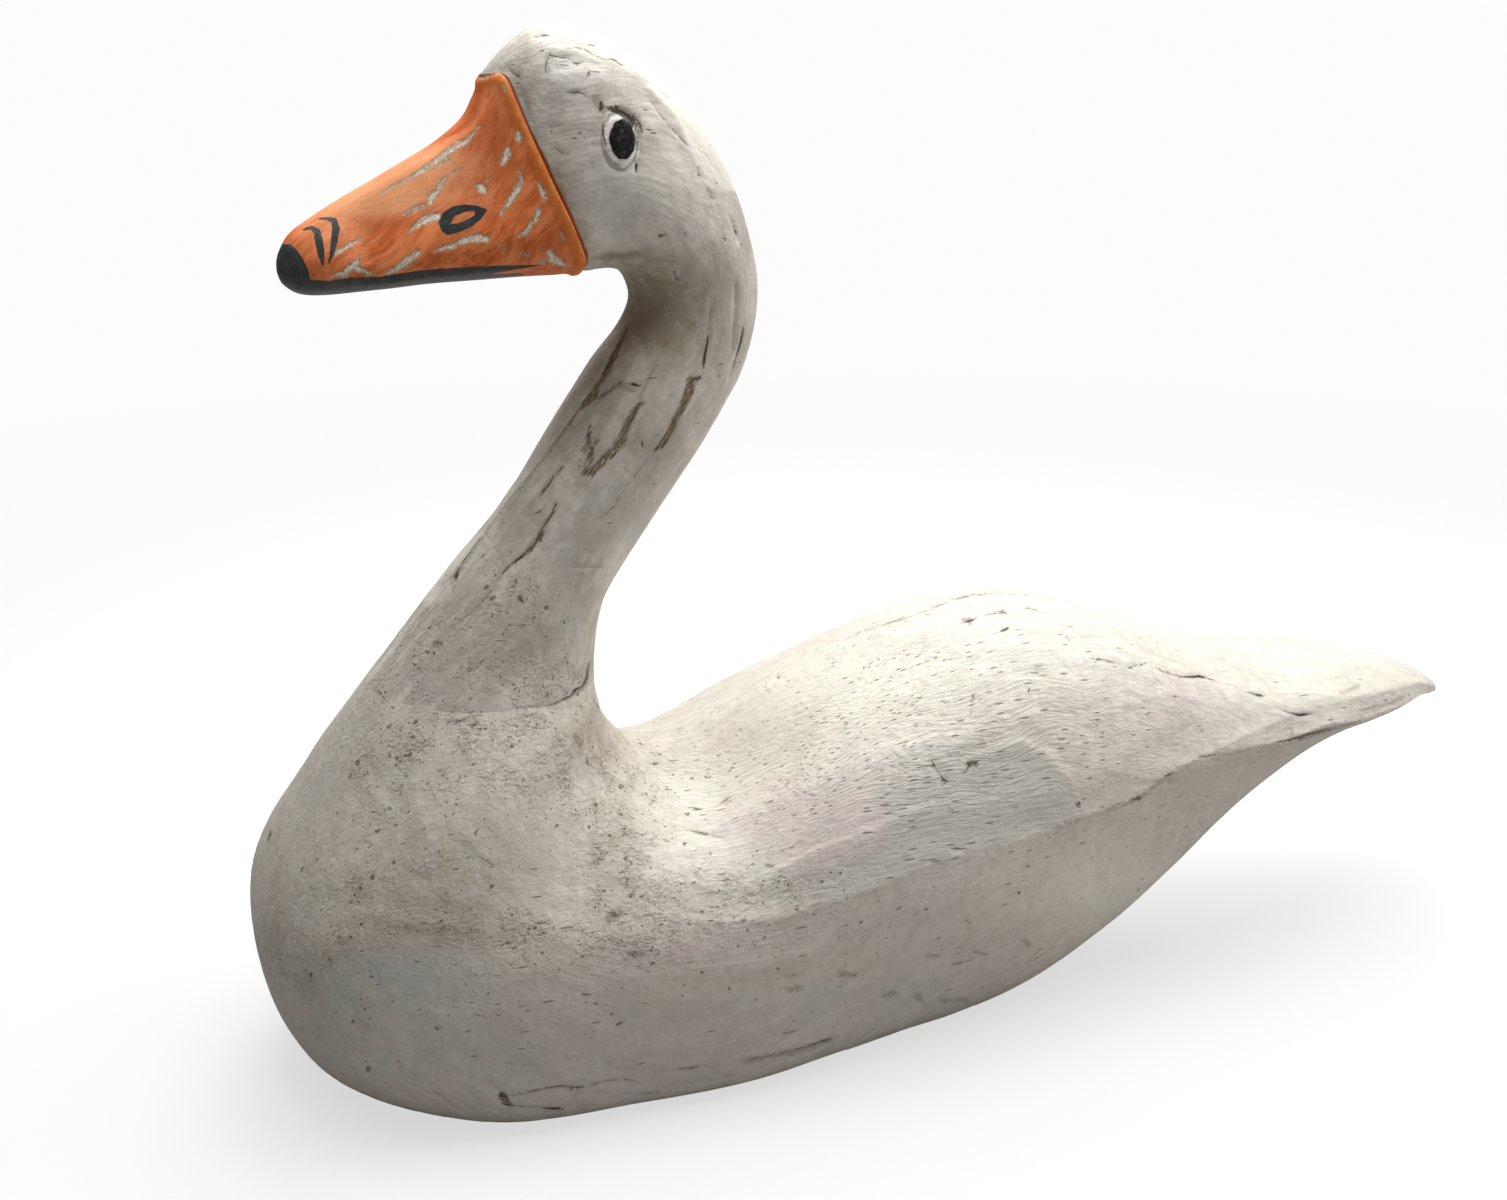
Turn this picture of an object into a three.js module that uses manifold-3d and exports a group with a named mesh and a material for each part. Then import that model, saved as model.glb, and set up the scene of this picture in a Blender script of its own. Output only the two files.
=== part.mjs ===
// A folk-carved wooden swan decoy, painted white, in the two blocks it is glued up
// from: the body with its pointed tail, and the neck with the head and the bill.
// Millimetres, +Z up. The swan faces -X and stands on the flat of its base at Z = 0,
// with the origin under the middle of its length.
import * as THREE from "three";
import Module from "manifold-3d";
import { mergeVertices } from "three/addons/utils/BufferGeometryUtils.js";

// Driving dimensions
const LENGTH = 610; // breast to tail tip
const BACK_HEIGHT = 184; // floor to the top of the back
const BODY_WIDTH = 204; // across the flanks
const NECK_RISE = 270; // glued joint to the crown, the unit of the neck's pose
const HEAD_WIDTH = 73; // across the cheeks
const RIM_STEP = 1.6; // how far the rim of the bill stands out from the face
const EYE_HEIGHT = 21;
const EYE_WIDTH = 13;
const EYE_RISE = 1.4; // how far the eye stands out from the cheek
const GLUE_GAP = 0.3; // between the body and the neck
const WELD_REACH = 1e-4; // points of a geometry nearer than this are one

// Fineness of the facets
const RINGS_PER_RIB = 3;
const FACETS_PER_SIDE = 3;
const EYE_FACETS = 16;

// A section is half the outline of one slice through the carving, from its inner edge
// to its outer edge. Each arris is [depth, reach, rounding]: its share of the way to
// the outer edge, its share of the half width, and the share of the two flats beside it
// that is worn round.
const SECTIONS = {
  tailTip: [[0, 0, 0.5], [0.12, 0.45, 0.4], [0.34, 0.92, 0.2], [0.68, 1, 0.15],
            [0.92, 0.55, 0.4], [1, 0, 0.5]],
  tail: [[0, 0, 0.5], [0.08, 0.46, 0.4], [0.25, 0.88, 0.2], [0.58, 1, 0.12], [0.88, 0.6, 0.4], [1, 0, 0.5]],
  tailRoot: [[0, 0, 0.5], [0.07, 0.44, 0.4], [0.2, 0.84, 0.35], [0.45, 1, 0.15],
             [0.9, 0.6, 0.4], [1, 0, 0.5]],
  croup: [[0, 0, 0.5], [0.045, 0.42, 0.5], [0.15, 0.79, 0.45], [0.39, 1, 0.15],
          [0.89, 0.66, 0.3], [1, 0, 0.4]],
  rump: [[0, 0, 0.5], [0.035, 0.42, 0.5], [0.13, 0.77, 0.5], [0.38, 1, 0.16],
         [0.89, 0.66, 0.3], [1, 0, 0.4]],
  hip: [[0, 0, 0.5], [0.035, 0.42, 0.5], [0.13, 0.75, 0.5], [0.39, 1, 0.22], [0.9, 0.65, 0.3], [1, 0, 0.4]],
  haunch: [[0, 0, 0.5], [0.04, 0.42, 0.5], [0.14, 0.75, 0.5], [0.44, 1, 0.35],
           [0.95, 0.64, 0.25], [1, 0, 0.3]],
  flank: [[0, 0, 0.5], [0.065, 0.43, 0.5], [0.17, 0.77, 0.4], [0.5, 1, 0.4], [1, 0.62, 0.15], [1, 0, 0.2]],
  loin: [[0, 0, 0.5], [0.105, 0.42, 0.5], [0.195, 0.8, 0.35], [0.46, 1, 0.4], [1, 0.72, 0.15], [1, 0, 0.2]],
  saddle: [[0, 0, 0.5], [0.12, 0.42, 0.5], [0.21, 0.8, 0.4], [0.43, 1, 0.4], [1, 0.81, 0.15], [1, 0, 0.2]],
  chest: [[0, 0, 0.5], [0.07, 0.36, 0.5], [0.2, 0.74, 0.45], [0.46, 1, 0.45],
          [0.99, 0.8, 0.27], [1, 0, 0.3]],
  breastFoot: [[0, 0, 0.5], [0.05, 0.32, 0.5], [0.18, 0.68, 0.45], [0.52, 1, 0.45],
               [0.93, 0.68, 0.45], [1, 0, 0.45]],
  breast: [[0, 0, 0.5], [0.05, 0.34, 0.5], [0.18, 0.66, 0.45], [0.55, 1, 0.45],
           [0.94, 0.7, 0.45], [1, 0, 0.5]],
  bust: [[0, 0, 0.5], [0.06, 0.42, 0.5], [0.22, 0.8, 0.45], [0.62, 1, 0.45],
         [0.94, 0.6, 0.45], [1, 0, 0.5]],
  collar: [[0, 0, 0.5], [0.07, 0.48, 0.5], [0.3, 0.93, 0.45], [0.7, 0.93, 0.45],
           [0.93, 0.48, 0.5], [1, 0, 0.5]],
  neck: [[0, 0, 0.5], [0.05, 0.46, 0.4], [0.22, 0.92, 0.35], [0.7, 0.96, 0.4],
         [0.93, 0.52, 0.4], [1, 0, 0.5]],
  throat: [[0, 0, 0.5], [0.05, 0.42, 0.5], [0.22, 0.88, 0.45], [0.62, 1, 0.5],
           [0.92, 0.62, 0.45], [1, 0, 0.5]],
  head: [[0, 0, 0.5], [0.03, 0.42, 0.5], [0.14, 0.8, 0.45], [0.46, 1, 0.5], [0.88, 0.7, 0.45], [1, 0, 0.5]],
  brow: [[0, 0, 0.5], [0.02, 0.5, 0.5], [0.11, 0.82, 0.4], [0.42, 1, 0.45], [0.9, 0.62, 0.4], [1, 0, 0.5]],
  face: [[0, 0, 0.5], [0.02, 0.5, 0.5], [0.1, 0.86, 0.3], [0.34, 1, 0.4], [0.91, 0.42, 0.25], [1, 0, 0.4]],
  bill: [[0, 0, 0.5], [0.02, 0.55, 0.4], [0.12, 0.9, 0.3], [0.34, 1, 0.3], [0.92, 0.4, 0.3], [1, 0, 0.5]],
  nail: [[0, 0, 0.5], [0.06, 0.5, 0.5], [0.2, 0.85, 0.45], [0.45, 1, 0.45], [0.88, 0.6, 0.45], [1, 0, 0.5]],
};

// A rib is [inner x, inner z, outer x, outer z, half width, section].
// The body's ribs run from the tail tip along the back, then fan out round the root of
// the neck and over the breast to the glued joint. The inner edge is on the back, the
// outer edge on the keel and up the breast. Places along the body are shares of LENGTH
// from the breast, heights are shares of BACK_HEIGHT, widths of half BODY_WIDTH.
const BODY_RIBS = [
  [1, 0.594, 1, 0.56, 0.03, "tailTip"],
  [0.978, 0.644, 0.978, 0.572, 0.15, "tailTip"],
  [0.951, 0.686, 0.951, 0.586, 0.285, "tail"],
  [0.91, 0.729, 0.91, 0.568, 0.43, "tail"],
  [0.869, 0.756, 0.869, 0.54, 0.505, "tail"],
  [0.828, 0.776, 0.828, 0.482, 0.55, "tailRoot"],
  [0.79, 0.798, 0.79, 0.405, 0.585, "tailRoot"],
  [0.746, 0.829, 0.746, 0.314, 0.635, "croup"],
  [0.705, 0.881, 0.705, 0.2, 0.69, "rump"],
  [0.648, 0.956, 0.648, 0.07, 0.765, "hip"],
  [0.574, 1, 0.574, 0, 0.865, "haunch"],
  [0.495, 0.958, 0.495, 0, 0.945, "flank"],
  [0.402, 0.85, 0.402, 0, 0.99, "loin"],
  [0.328, 0.742, 0.328, 0, 1, "saddle"],
  [0.285, 0.746, 0.245, 0, 1, "saddle"],
  [0.267, 0.794, 0.13, 0, 0.98, "chest"],
  [0.258, 0.84, 0.03, 0.085, 0.94, "breastFoot"],
  [0.254, 0.884, 0, 0.42, 0.83, "breast"],
  [0.252, 0.92, 0.044, 0.73, 0.65, "bust"],
  [0.2515, 0.943, 0.0905, 0.966, 0.445, "collar"],
];

// The neck's ribs run from above the joint to the crown and the face, fanning out round
// the throat, with the inner edge on the throat and the outer edge on the nape. Places
// are shares of NECK_RISE from the middle of the joint, widths of half HEAD_WIDTH.
const NECK_RIBS = [
  [-0.108, 0.097, 0.186, 0.045, 1.05, "neck"],
  [-0.042, 0.178, 0.195, 0.098, 0.95, "neck"],
  [0.023, 0.25, 0.215, 0.143, 0.87, "neck"],
  [0.108, 0.366, 0.29, 0.248, 0.82, "neck"],
  [0.194, 0.49, 0.379, 0.37, 0.79, "neck"],
  [0.241, 0.545, 0.441, 0.478, 0.77, "neck"],
  [0.26, 0.583, 0.463, 0.589, 0.79, "throat"],
  [0.258, 0.611, 0.449, 0.689, 0.84, "throat"],
  [0.246, 0.633, 0.406, 0.8, 0.92, "head"],
  [0.226, 0.641, 0.331, 0.906, 0.98, "head"],
  [0.204, 0.641, 0.215, 0.991, 1, "head"],
  [0.188, 0.641, 0.119, 1.003, 0.97, "brow"],
  [0.172, 0.641, 0.046, 0.942, 0.91, "face"],
];

// The bill's ribs run from just before the rim to the nail, with the inner edge under
// the bill, in the same shares as the neck's.
const BILL_RIBS = [
  [0.155, 0.638, 0.026, 0.904, 0.905, "face"],
  [0.132, 0.637, 0.006, 0.871, 0.86, "face"],
  [0.075, 0.637, -0.036, 0.838, 0.765, "bill"],
  [0.01, 0.635, -0.079, 0.814, 0.685, "bill"],
  [-0.06, 0.633, -0.125, 0.789, 0.61, "bill"],
  [-0.13, 0.628, -0.175, 0.763, 0.54, "bill"],
  [-0.2, 0.622, -0.221, 0.736, 0.47, "nail"],
  [-0.243, 0.625, -0.253, 0.714, 0.37, "nail"],
  [-0.267, 0.64, -0.269, 0.69, 0.21, "nail"],
  [-0.274, 0.656, -0.274, 0.676, 0.08, "nail"],
];

// The eye's centre, in the neck's shares from the middle of the joint
const EYE_PLACE = { x: 0.213, z: 0.845 };

const WHITE_PAINT = new THREE.MeshStandardMaterial({ color: 0xd9d5cb, roughness: 0.6, metalness: 0 });
const WHITE_PAINT_ON_NECK = new THREE.MeshStandardMaterial({ color: 0xcfcbc3, roughness: 0.6, metalness: 0 });

// A rib as one row of numbers that can be blended: both edges in millimetres, the half
// width, and the section's arrises.
function rowFromRib([innerX, innerZ, outerX, outerZ, half, section], toX, toZ, halfWidth) {
  const edges = [toX(innerX), toZ(innerZ), toX(outerX), toZ(outerZ)];
  return [...edges, half * halfWidth, ...SECTIONS[section].flat()];
}

// The row at a position counted in ribs, on a uniform Catmull-Rom spline through the rows.
function rowAt(rows, position) {
  const last = rows.length - 1;
  const start = Math.min(Math.floor(position), last - 1);
  const w = position - start;
  const [a, b, c, d] = [-1, 0, 1, 2].map((step) => rows[THREE.MathUtils.clamp(start + step, 0, last)]);
  return b.map((value, i) => {
    const tangentIn = (c[i] - a[i]) / 2;
    const tangentOut = (d[i] - value) / 2;
    const cubic = 2 * value - 2 * c[i] + tangentIn + tangentOut;
    const square = 3 * c[i] - 3 * value - 2 * tangentIn - tangentOut;
    return ((cubic * w + square) * w + tangentIn) * w + value;
  });
}

// The whole outline of a row's section as depth and reach: a closed polygon whose
// corners are rounded by quadratic curves, with the same number of points on each side.
function outline(row) {
  const arrises = [];
  for (let i = 5; i < row.length; i += 3) {
    arrises.push({ point: new THREE.Vector2(row[i], row[i + 1]), rounding: row[i + 2] });
  }
  const mirrored = arrises.slice(1, -1).reverse().map(({ point, rounding }) => (
    { point: new THREE.Vector2(point.x, -point.y), rounding }
  ));
  const corners = [...arrises, ...mirrored];
  const corner = (i) => corners[(i + corners.length) % corners.length];
  const rounded = (i, turn) => {
    const here = corner(i);
    const before = here.point.clone().lerp(corner(i - 1).point, here.rounding);
    const after = here.point.clone().lerp(corner(i + 1).point, here.rounding);
    return new THREE.QuadraticBezierCurve(before, here.point, after).getPoint(turn);
  };
  const points = [];
  for (let i = 0; i < corners.length; i += 1) {
    for (let k = 0; k < FACETS_PER_SIDE; k += 1) {
      const along = k / FACETS_PER_SIDE;
      const { point, rounding } = corner(i);
      const next = corner(i + 1);
      if (along < rounding) {
        points.push(rounded(i, 0.5 + 0.5 * (along / rounding)));
      } else if (along > 1 - next.rounding) {
        points.push(rounded(i + 1, 0.5 * (1 - (1 - along) / next.rounding)));
      } else {
        points.push(point.clone().lerp(next.point, along));
      }
    }
  }
  return points;
}

// The outline set in place: stretched to reach the row's two edges and its half width,
// and planed off at the floor.
function ring(row) {
  const inner = new THREE.Vector2(row[0], row[1]);
  const outer = new THREE.Vector2(row[2], row[3]);
  const points = outline(row);
  const extent = new THREE.Box2().setFromPoints(points);
  return points.map(({ x, y }) => {
    const depth = (x - extent.min.x) / (extent.max.x - extent.min.x);
    const edge = inner.clone().lerp(outer, depth);
    return new THREE.Vector3(edge.x, row[4] * (y / extent.max.y), Math.max(edge.y, 0));
  });
}

function ringsThrough(rows) {
  const steps = (rows.length - 1) * RINGS_PER_RIB;
  return Array.from({ length: steps + 1 }, (unused, i) => ring(rowAt(rows, i / RINGS_PER_RIB)));
}

// A closed skin over the rings, with a flat fan across the first and the last. The rings
// run towards the joint, so that the faces point outwards.
function skin(rings) {
  const around = rings[0].length;
  const middle = (points) => points.reduce((sum, p) => sum.add(p), new THREE.Vector3()).divideScalar(around);
  const points = [...rings.flat(), middle(rings[0]), middle(rings.at(-1))];
  const faces = [];
  for (let i = 0; i < rings.length - 1; i += 1) {
    for (let j = 0; j < around; j += 1) {
      const next = (j + 1) % around;
      const [a, b] = [i * around + j, i * around + next];
      faces.push(a, b, b + around, a, b + around, a + around);
    }
  }
  const lastRing = (rings.length - 1) * around;
  for (let j = 0; j < around; j += 1) {
    const next = (j + 1) % around;
    faces.push(rings.length * around, next, j);
    faces.push(rings.length * around + 1, lastRing + j, lastRing + next);
  }
  const geometry = new THREE.BufferGeometry();
  geometry.setAttribute("position", new THREE.Float32BufferAttribute(points.flatMap((p) => p.toArray()), 3));
  geometry.setIndex(faces);
  return geometry;
}

const bodyX = (share) => (share - 0.5) * LENGTH;
const bodyZ = (share) => share * BACK_HEIGHT;
const bodyRows = BODY_RIBS.map((rib) => rowFromRib(rib, bodyX, bodyZ, BODY_WIDTH / 2));

// The glued joint is the body's last slice, and the foot of the neck is the same slice
// lifted by the gap and turned round, because the neck's inner edge is on its front.
const joint = bodyRows.at(-1);
const jointInner = new THREE.Vector2(joint[0], joint[1]);
const jointOuter = new THREE.Vector2(joint[2], joint[3]);
const jointMiddle = jointInner.clone().lerp(jointOuter, 0.5);
const lift = jointInner.clone().sub(jointOuter).normalize().rotateAround(new THREE.Vector2(), Math.PI / 2)
  .multiplyScalar(GLUE_GAP);
const footFront = jointOuter.clone().add(lift);
const footBack = jointInner.clone().add(lift);
const footRow = [...footFront.toArray(), ...footBack.toArray(), ...joint.slice(4)];

const neckX = (share) => jointMiddle.x + share * NECK_RISE;
const neckZ = (share) => jointMiddle.y + share * NECK_RISE;
const rowOnNeck = (rib) => rowFromRib(rib, neckX, neckZ, HEAD_WIDTH / 2);
const neckRows = [footRow, ...NECK_RIBS.map(rowOnNeck)];

// The rim of the bill is the face's last slice, carried forward by half the step, and
// grown by the step at the sides and by half of it below. The bill narrows from it.
function rimRow(row) {
  const inner = new THREE.Vector2(row[0], row[1]);
  const outer = new THREE.Vector2(row[2], row[3]);
  const across = outer.clone().sub(inner).normalize();
  const ahead = across.clone().rotateAround(new THREE.Vector2(), Math.PI / 2);
  inner.addScaledVector(across, -RIM_STEP / 2).addScaledVector(ahead, RIM_STEP / 2);
  outer.addScaledVector(ahead, RIM_STEP / 2);
  return [...inner.toArray(), ...outer.toArray(), row[4] + RIM_STEP, ...row.slice(5)];
}

const billRows = [rimRow(neckRows.at(-1)), ...BILL_RIBS.map(rowOnNeck)];

// A solid for cutting and joining from a closed geometry, and the way back.
const wasm = await Module();
wasm.setup();

function solidFrom(geometry) {
  const bare = geometry.clone();
  bare.deleteAttribute("normal");
  bare.deleteAttribute("uv");
  const merged = mergeVertices(bare, WELD_REACH);
  const mesh = new wasm.Mesh({
    numProp: 3,
    vertProperties: new Float32Array(merged.attributes.position.array),
    triVerts: new Uint32Array(merged.index.array),
  });
  mesh.merge();
  return new wasm.Manifold(mesh);
}

function geometryFrom(solid) {
  const mesh = solid.getMesh();
  const geometry = new THREE.BufferGeometry();
  geometry.setAttribute("position", new THREE.BufferAttribute(mesh.vertProperties, 3));
  geometry.setIndex(new THREE.BufferAttribute(mesh.triVerts, 1));
  return geometry;
}

// The cheek's distance from the middle plane at a place beside the head.
function cheekReach(geometry, x, z) {
  const mesh = new THREE.Mesh(geometry, new THREE.MeshBasicMaterial({ side: THREE.DoubleSide }));
  const ray = new THREE.Raycaster(new THREE.Vector3(x, HEAD_WIDTH, z), new THREE.Vector3(0, -1, 0));
  return ray.intersectObject(mesh)[0].point.y;
}

// An eye is a low dome, upright and lens-shaped, half sunk in the cheek.
function eye(side, cheek) {
  const dome = new THREE.SphereGeometry(1, EYE_FACETS, EYE_FACETS / 2);
  dome.rotateX(Math.PI / 2);
  dome.scale(EYE_WIDTH / 2, 2 * EYE_RISE, EYE_HEIGHT / 2);
  dome.translate(neckX(EYE_PLACE.x), side * (cheek - EYE_RISE), neckZ(EYE_PLACE.z));
  return dome;
}

function headAndNeckGeometry() {
  const fromBillToFoot = [...ringsThrough(neckRows), ...ringsThrough(billRows)].reverse();
  const carved = skin(fromBillToFoot);
  const cheek = cheekReach(carved, neckX(EYE_PLACE.x), neckZ(EYE_PLACE.z));
  const eyes = [-1, 1].map((side) => solidFrom(eye(side, cheek)));
  return geometryFrom(eyes.reduce((head, dome) => head.add(dome), solidFrom(carved)));
}

const body = new THREE.Mesh(skin(ringsThrough(bodyRows)), WHITE_PAINT);
body.name = "body";
const headAndNeck = new THREE.Mesh(headAndNeckGeometry(), WHITE_PAINT_ON_NECK);
headAndNeck.name = "head_and_neck";

const decoy = new THREE.Group();
decoy.add(body, headAndNeck);
decoy.position.x = -new THREE.Box3().setFromObject(decoy).getCenter(new THREE.Vector3()).x;

export default decoy;
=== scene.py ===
"""A folk-carved wooden swan decoy: two glued blocks, painted white, with an orange bill.

Lengths are in millimetres until a mesh is made. The swan faces -X and its near side is y < 0.
Marks on the paint are given where the picture shows them, in pixels of the 1507 x 1200 frame,
and are carried onto the surface through the camera.
"""
import bpy
import numpy as np
from mathutils import Matrix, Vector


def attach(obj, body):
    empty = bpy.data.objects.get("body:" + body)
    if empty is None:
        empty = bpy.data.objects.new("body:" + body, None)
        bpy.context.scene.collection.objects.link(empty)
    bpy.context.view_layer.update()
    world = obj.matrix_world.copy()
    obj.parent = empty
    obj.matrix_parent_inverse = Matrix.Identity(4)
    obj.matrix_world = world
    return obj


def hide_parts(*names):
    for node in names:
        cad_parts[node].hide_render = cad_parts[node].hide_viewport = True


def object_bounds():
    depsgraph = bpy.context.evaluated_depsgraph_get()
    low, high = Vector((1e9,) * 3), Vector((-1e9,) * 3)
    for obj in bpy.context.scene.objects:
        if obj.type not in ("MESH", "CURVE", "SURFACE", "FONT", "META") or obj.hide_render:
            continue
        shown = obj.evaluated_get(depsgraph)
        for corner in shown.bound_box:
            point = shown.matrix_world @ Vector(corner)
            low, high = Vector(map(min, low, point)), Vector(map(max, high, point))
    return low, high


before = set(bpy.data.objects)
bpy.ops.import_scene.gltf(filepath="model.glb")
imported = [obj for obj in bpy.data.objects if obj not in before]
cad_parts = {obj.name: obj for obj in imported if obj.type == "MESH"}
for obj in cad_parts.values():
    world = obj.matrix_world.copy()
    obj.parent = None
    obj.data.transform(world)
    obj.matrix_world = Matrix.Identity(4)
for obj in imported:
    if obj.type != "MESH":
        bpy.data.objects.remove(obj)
cad_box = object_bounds()
METRES = 0.001

# Driving sizes of the carving
LENGTH = 610
BACK_HEIGHT = 184
BODY_WIDTH = 204
NECK_RISE = 270
HEAD_WIDTH = 73
RIM_STEP = 1.6
EYE_RISE = 1.4

# The bill's rim. It is bowed: how far its sides lean back at most and all round, how far its
# middle on the forehead and its corner at the mouth come forward, and how far along the skin
# this reaches. Then the bead's height, place and width, how far the orange reaches past the
# rim on the cheek, where it is darkened as painted shade, and how far from the rim the black
# paint starts underneath.
RIM_BOW = 4.3
RIM_BACK = 1
FOREHEAD_FORWARD = 4
FOREHEAD_HALF_WIDTH = 15
MOUTH_FORWARD = 3
RIM_BOW_REACH = 19
BEAD_HEIGHT = 0.75
BEAD_PLACE = 2.9
BEAD_WIDTH = 1.9
ORANGE_PAST_RIM = 1.1
BLACK_FROM_RIM = 24

# Depths of the carving and its wear
BODY_WAVES = 0.9
NECK_WAVES = 0.7
BODY_CUT_DEPTH = 0.5
NECK_CUT_DEPTH = 0.55
LUMP_HEIGHT = 0.32
FLAKE_DEPTH = 0.25
CRACK_SHOULDER = 0.9
BLOT_SHARE = 0.6
EYE_GROOVE = 0.9
ROWS_TO_JOINT = 12

# Lengths of the knife's waves and of the paint's lumps along X, Y and Z
LONG_WAVES = (70, 34, 28)
SHORT_WAVES = (30, 14, 12)
LUMPS = (6.5, 6.5, 5)
SMALL_LUMPS = (3.4, 3.4, 3)

# Seeds of the noises: each takes its own and the next one
BODY_WAVES_SEED = 3
BODY_LUMPS_SEED = 11
NECK_WAVES_SEED = 7
NECK_LUMPS_SEED = 17

# Fineness of the surfaces: the rows of slices, and the points on each flat of a slice, from
# the inner edge along the far side and back along the near side, which has the finer marks
FLAT_POINTS = {
    "body": [14, 16, 20, 22, 16, 30, 46, 36, 20, 20],
    "head": [8, 10, 18, 22, 14, 20, 34, 28, 14, 12],
}
BODY_ROWS = 400
NECK_ROWS = 330
STEP_ROWS = 5
BILL_ROWS = 180
TRIALS_PER_RIB = 20

# The camera, and the frame in which the marks are given
AZIMUTH = np.radians(-20)
ELEVATION = np.radians(18)
DISTANCE = 900
TARGET = np.array([-75, 0, 196])
FOCAL_PIXELS = 2000
PICTURE = np.array([1507, 1200])
SENSOR = 36
BACKWARDS = np.array([
    np.sin(AZIMUTH) * np.cos(ELEVATION),
    -np.cos(AZIMUTH) * np.cos(ELEVATION),
    np.sin(ELEVATION),
])
RIGHTWARDS = np.array([np.cos(AZIMUTH), np.sin(AZIMUTH), 0])
UPWARDS = np.cross(BACKWARDS, RIGHTWARDS)
CAMERA_PLACE = TARGET + DISTANCE * BACKWARDS
MM_PER_PIXEL = DISTANCE / FOCAL_PIXELS


def make_camera():
    """The camera of the picture: it stands back from the target along the viewing line."""
    lens = bpy.data.cameras.new("camera")
    lens.sensor_width = SENSOR
    lens.lens = FOCAL_PIXELS / PICTURE[0] * SENSOR
    camera = bpy.data.objects.new("camera", lens)
    turned = np.eye(4)
    turned[:3, :3] = np.stack([RIGHTWARDS, UPWARDS, BACKWARDS], 1)
    turned[:3, 3] = CAMERA_PLACE * METRES
    camera.matrix_world = Matrix(turned)
    bpy.context.scene.collection.objects.link(camera)
    bpy.context.scene.camera = camera


make_camera()

# Half outlines of slices through the carving, from the inner to the outer edge. An arris
# is [depth, reach, rounding]: shares of the way to the outer edge and of the half width,
# and the share of the two flats beside it that is worn round. The inner edge comes first.
INNER_EDGE = [0, 0, .5]
SECTIONS = {
    "tailTip": [[.12, .45, .4], [.34, .92, .2], [.68, 1, .15], [.92, .55, .4], [1, 0, .5]],
    "tail": [[.08, .46, .4], [.25, .88, .2], [.58, 1, .12], [.88, .6, .4], [1, 0, .5]],
    "tailRoot": [[.07, .44, .4], [.2, .84, .35], [.45, 1, .15], [.9, .6, .4], [1, 0, .5]],
    "croup": [[.045, .42, .5], [.15, .79, .45], [.39, 1, .15], [.89, .66, .3], [1, 0, .4]],
    "rump": [[.035, .42, .5], [.13, .77, .5], [.38, 1, .16], [.89, .66, .3], [1, 0, .4]],
    "hip": [[.035, .42, .5], [.13, .75, .5], [.39, 1, .22], [.9, .65, .3], [1, 0, .4]],
    "haunch": [[.04, .42, .5], [.14, .75, .5], [.44, 1, .35], [.95, .64, .25], [1, 0, .3]],
    "flank": [[.065, .43, .5], [.17, .77, .4], [.5, 1, .4], [1, .62, .15], [1, 0, .2]],
    "loin": [[.105, .42, .5], [.195, .8, .35], [.46, 1, .4], [1, .72, .15], [1, 0, .2]],
    "saddle": [[.12, .42, .5], [.21, .8, .4], [.43, 1, .4], [1, .81, .15], [1, 0, .2]],
    "chest": [[.07, .36, .5], [.2, .74, .45], [.46, 1, .45], [.99, .8, .27], [1, 0, .3]],
    "breastFoot": [[.05, .32, .5], [.18, .68, .45], [.52, 1, .45], [.93, .68, .45], [1, 0, .45]],
    "breast": [[.05, .34, .5], [.18, .66, .45], [.55, 1, .45], [.94, .7, .45], [1, 0, .5]],
    "bust": [[.06, .42, .5], [.22, .8, .45], [.62, 1, .45], [.94, .6, .45], [1, 0, .5]],
    "collar": [[.07, .48, .5], [.3, .93, .45], [.7, .93, .45], [.93, .48, .5], [1, 0, .5]],
    "neck": [[.05, .46, .4], [.22, .92, .35], [.7, .96, .4], [.93, .52, .4], [1, 0, .5]],
    "throat": [[.05, .42, .5], [.22, .88, .45], [.62, 1, .5], [.92, .62, .45], [1, 0, .5]],
    "head": [[.03, .42, .5], [.14, .8, .45], [.46, 1, .5], [.88, .7, .45], [1, 0, .5]],
    "brow": [[.02, .5, .5], [.11, .82, .4], [.42, 1, .45], [.9, .62, .4], [1, 0, .5]],
    "face": [[.02, .5, .5], [.1, .86, .3], [.34, 1, .4], [.91, .42, .25], [1, 0, .4]],
    "bill": [[.02, .55, .4], [.12, .9, .3], [.34, 1, .3], [.92, .4, .3], [1, 0, .5]],
    "nail": [[.06, .5, .5], [.2, .85, .45], [.45, 1, .45], [.88, .6, .45], [1, 0, .5]],
}

# A rib is [inner x, inner z, outer x, outer z, half width, section]. The body's ribs run
# from the tail tip along the back, then fan out over the breast to the glued joint.
# Places are shares of LENGTH and BACK_HEIGHT, widths of half BODY_WIDTH.
BODY_RIBS = [
    [1, .594, 1, .56, .03, "tailTip"],
    [.978, .644, .978, .572, .15, "tailTip"],
    [.951, .686, .951, .586, .285, "tail"],
    [.91, .729, .91, .568, .43, "tail"],
    [.869, .756, .869, .54, .505, "tail"],
    [.828, .776, .828, .482, .55, "tailRoot"],
    [.79, .798, .79, .405, .585, "tailRoot"],
    [.746, .829, .746, .314, .635, "croup"],
    [.705, .881, .705, .2, .69, "rump"],
    [.648, .956, .648, .07, .765, "hip"],
    [.574, 1, .574, 0, .865, "haunch"],
    [.495, .958, .495, 0, .945, "flank"],
    [.402, .85, .402, 0, .99, "loin"],
    [.328, .742, .328, 0, 1, "saddle"],
    [.285, .746, .245, 0, 1, "saddle"],
    [.267, .794, .13, 0, .98, "chest"],
    [.258, .84, .03, .085, .94, "breastFoot"],
    [.254, .884, 0, .42, .83, "breast"],
    [.252, .92, .044, .73, .65, "bust"],
    [.2515, .943, .0905, .966, .445, "collar"],
]

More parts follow.
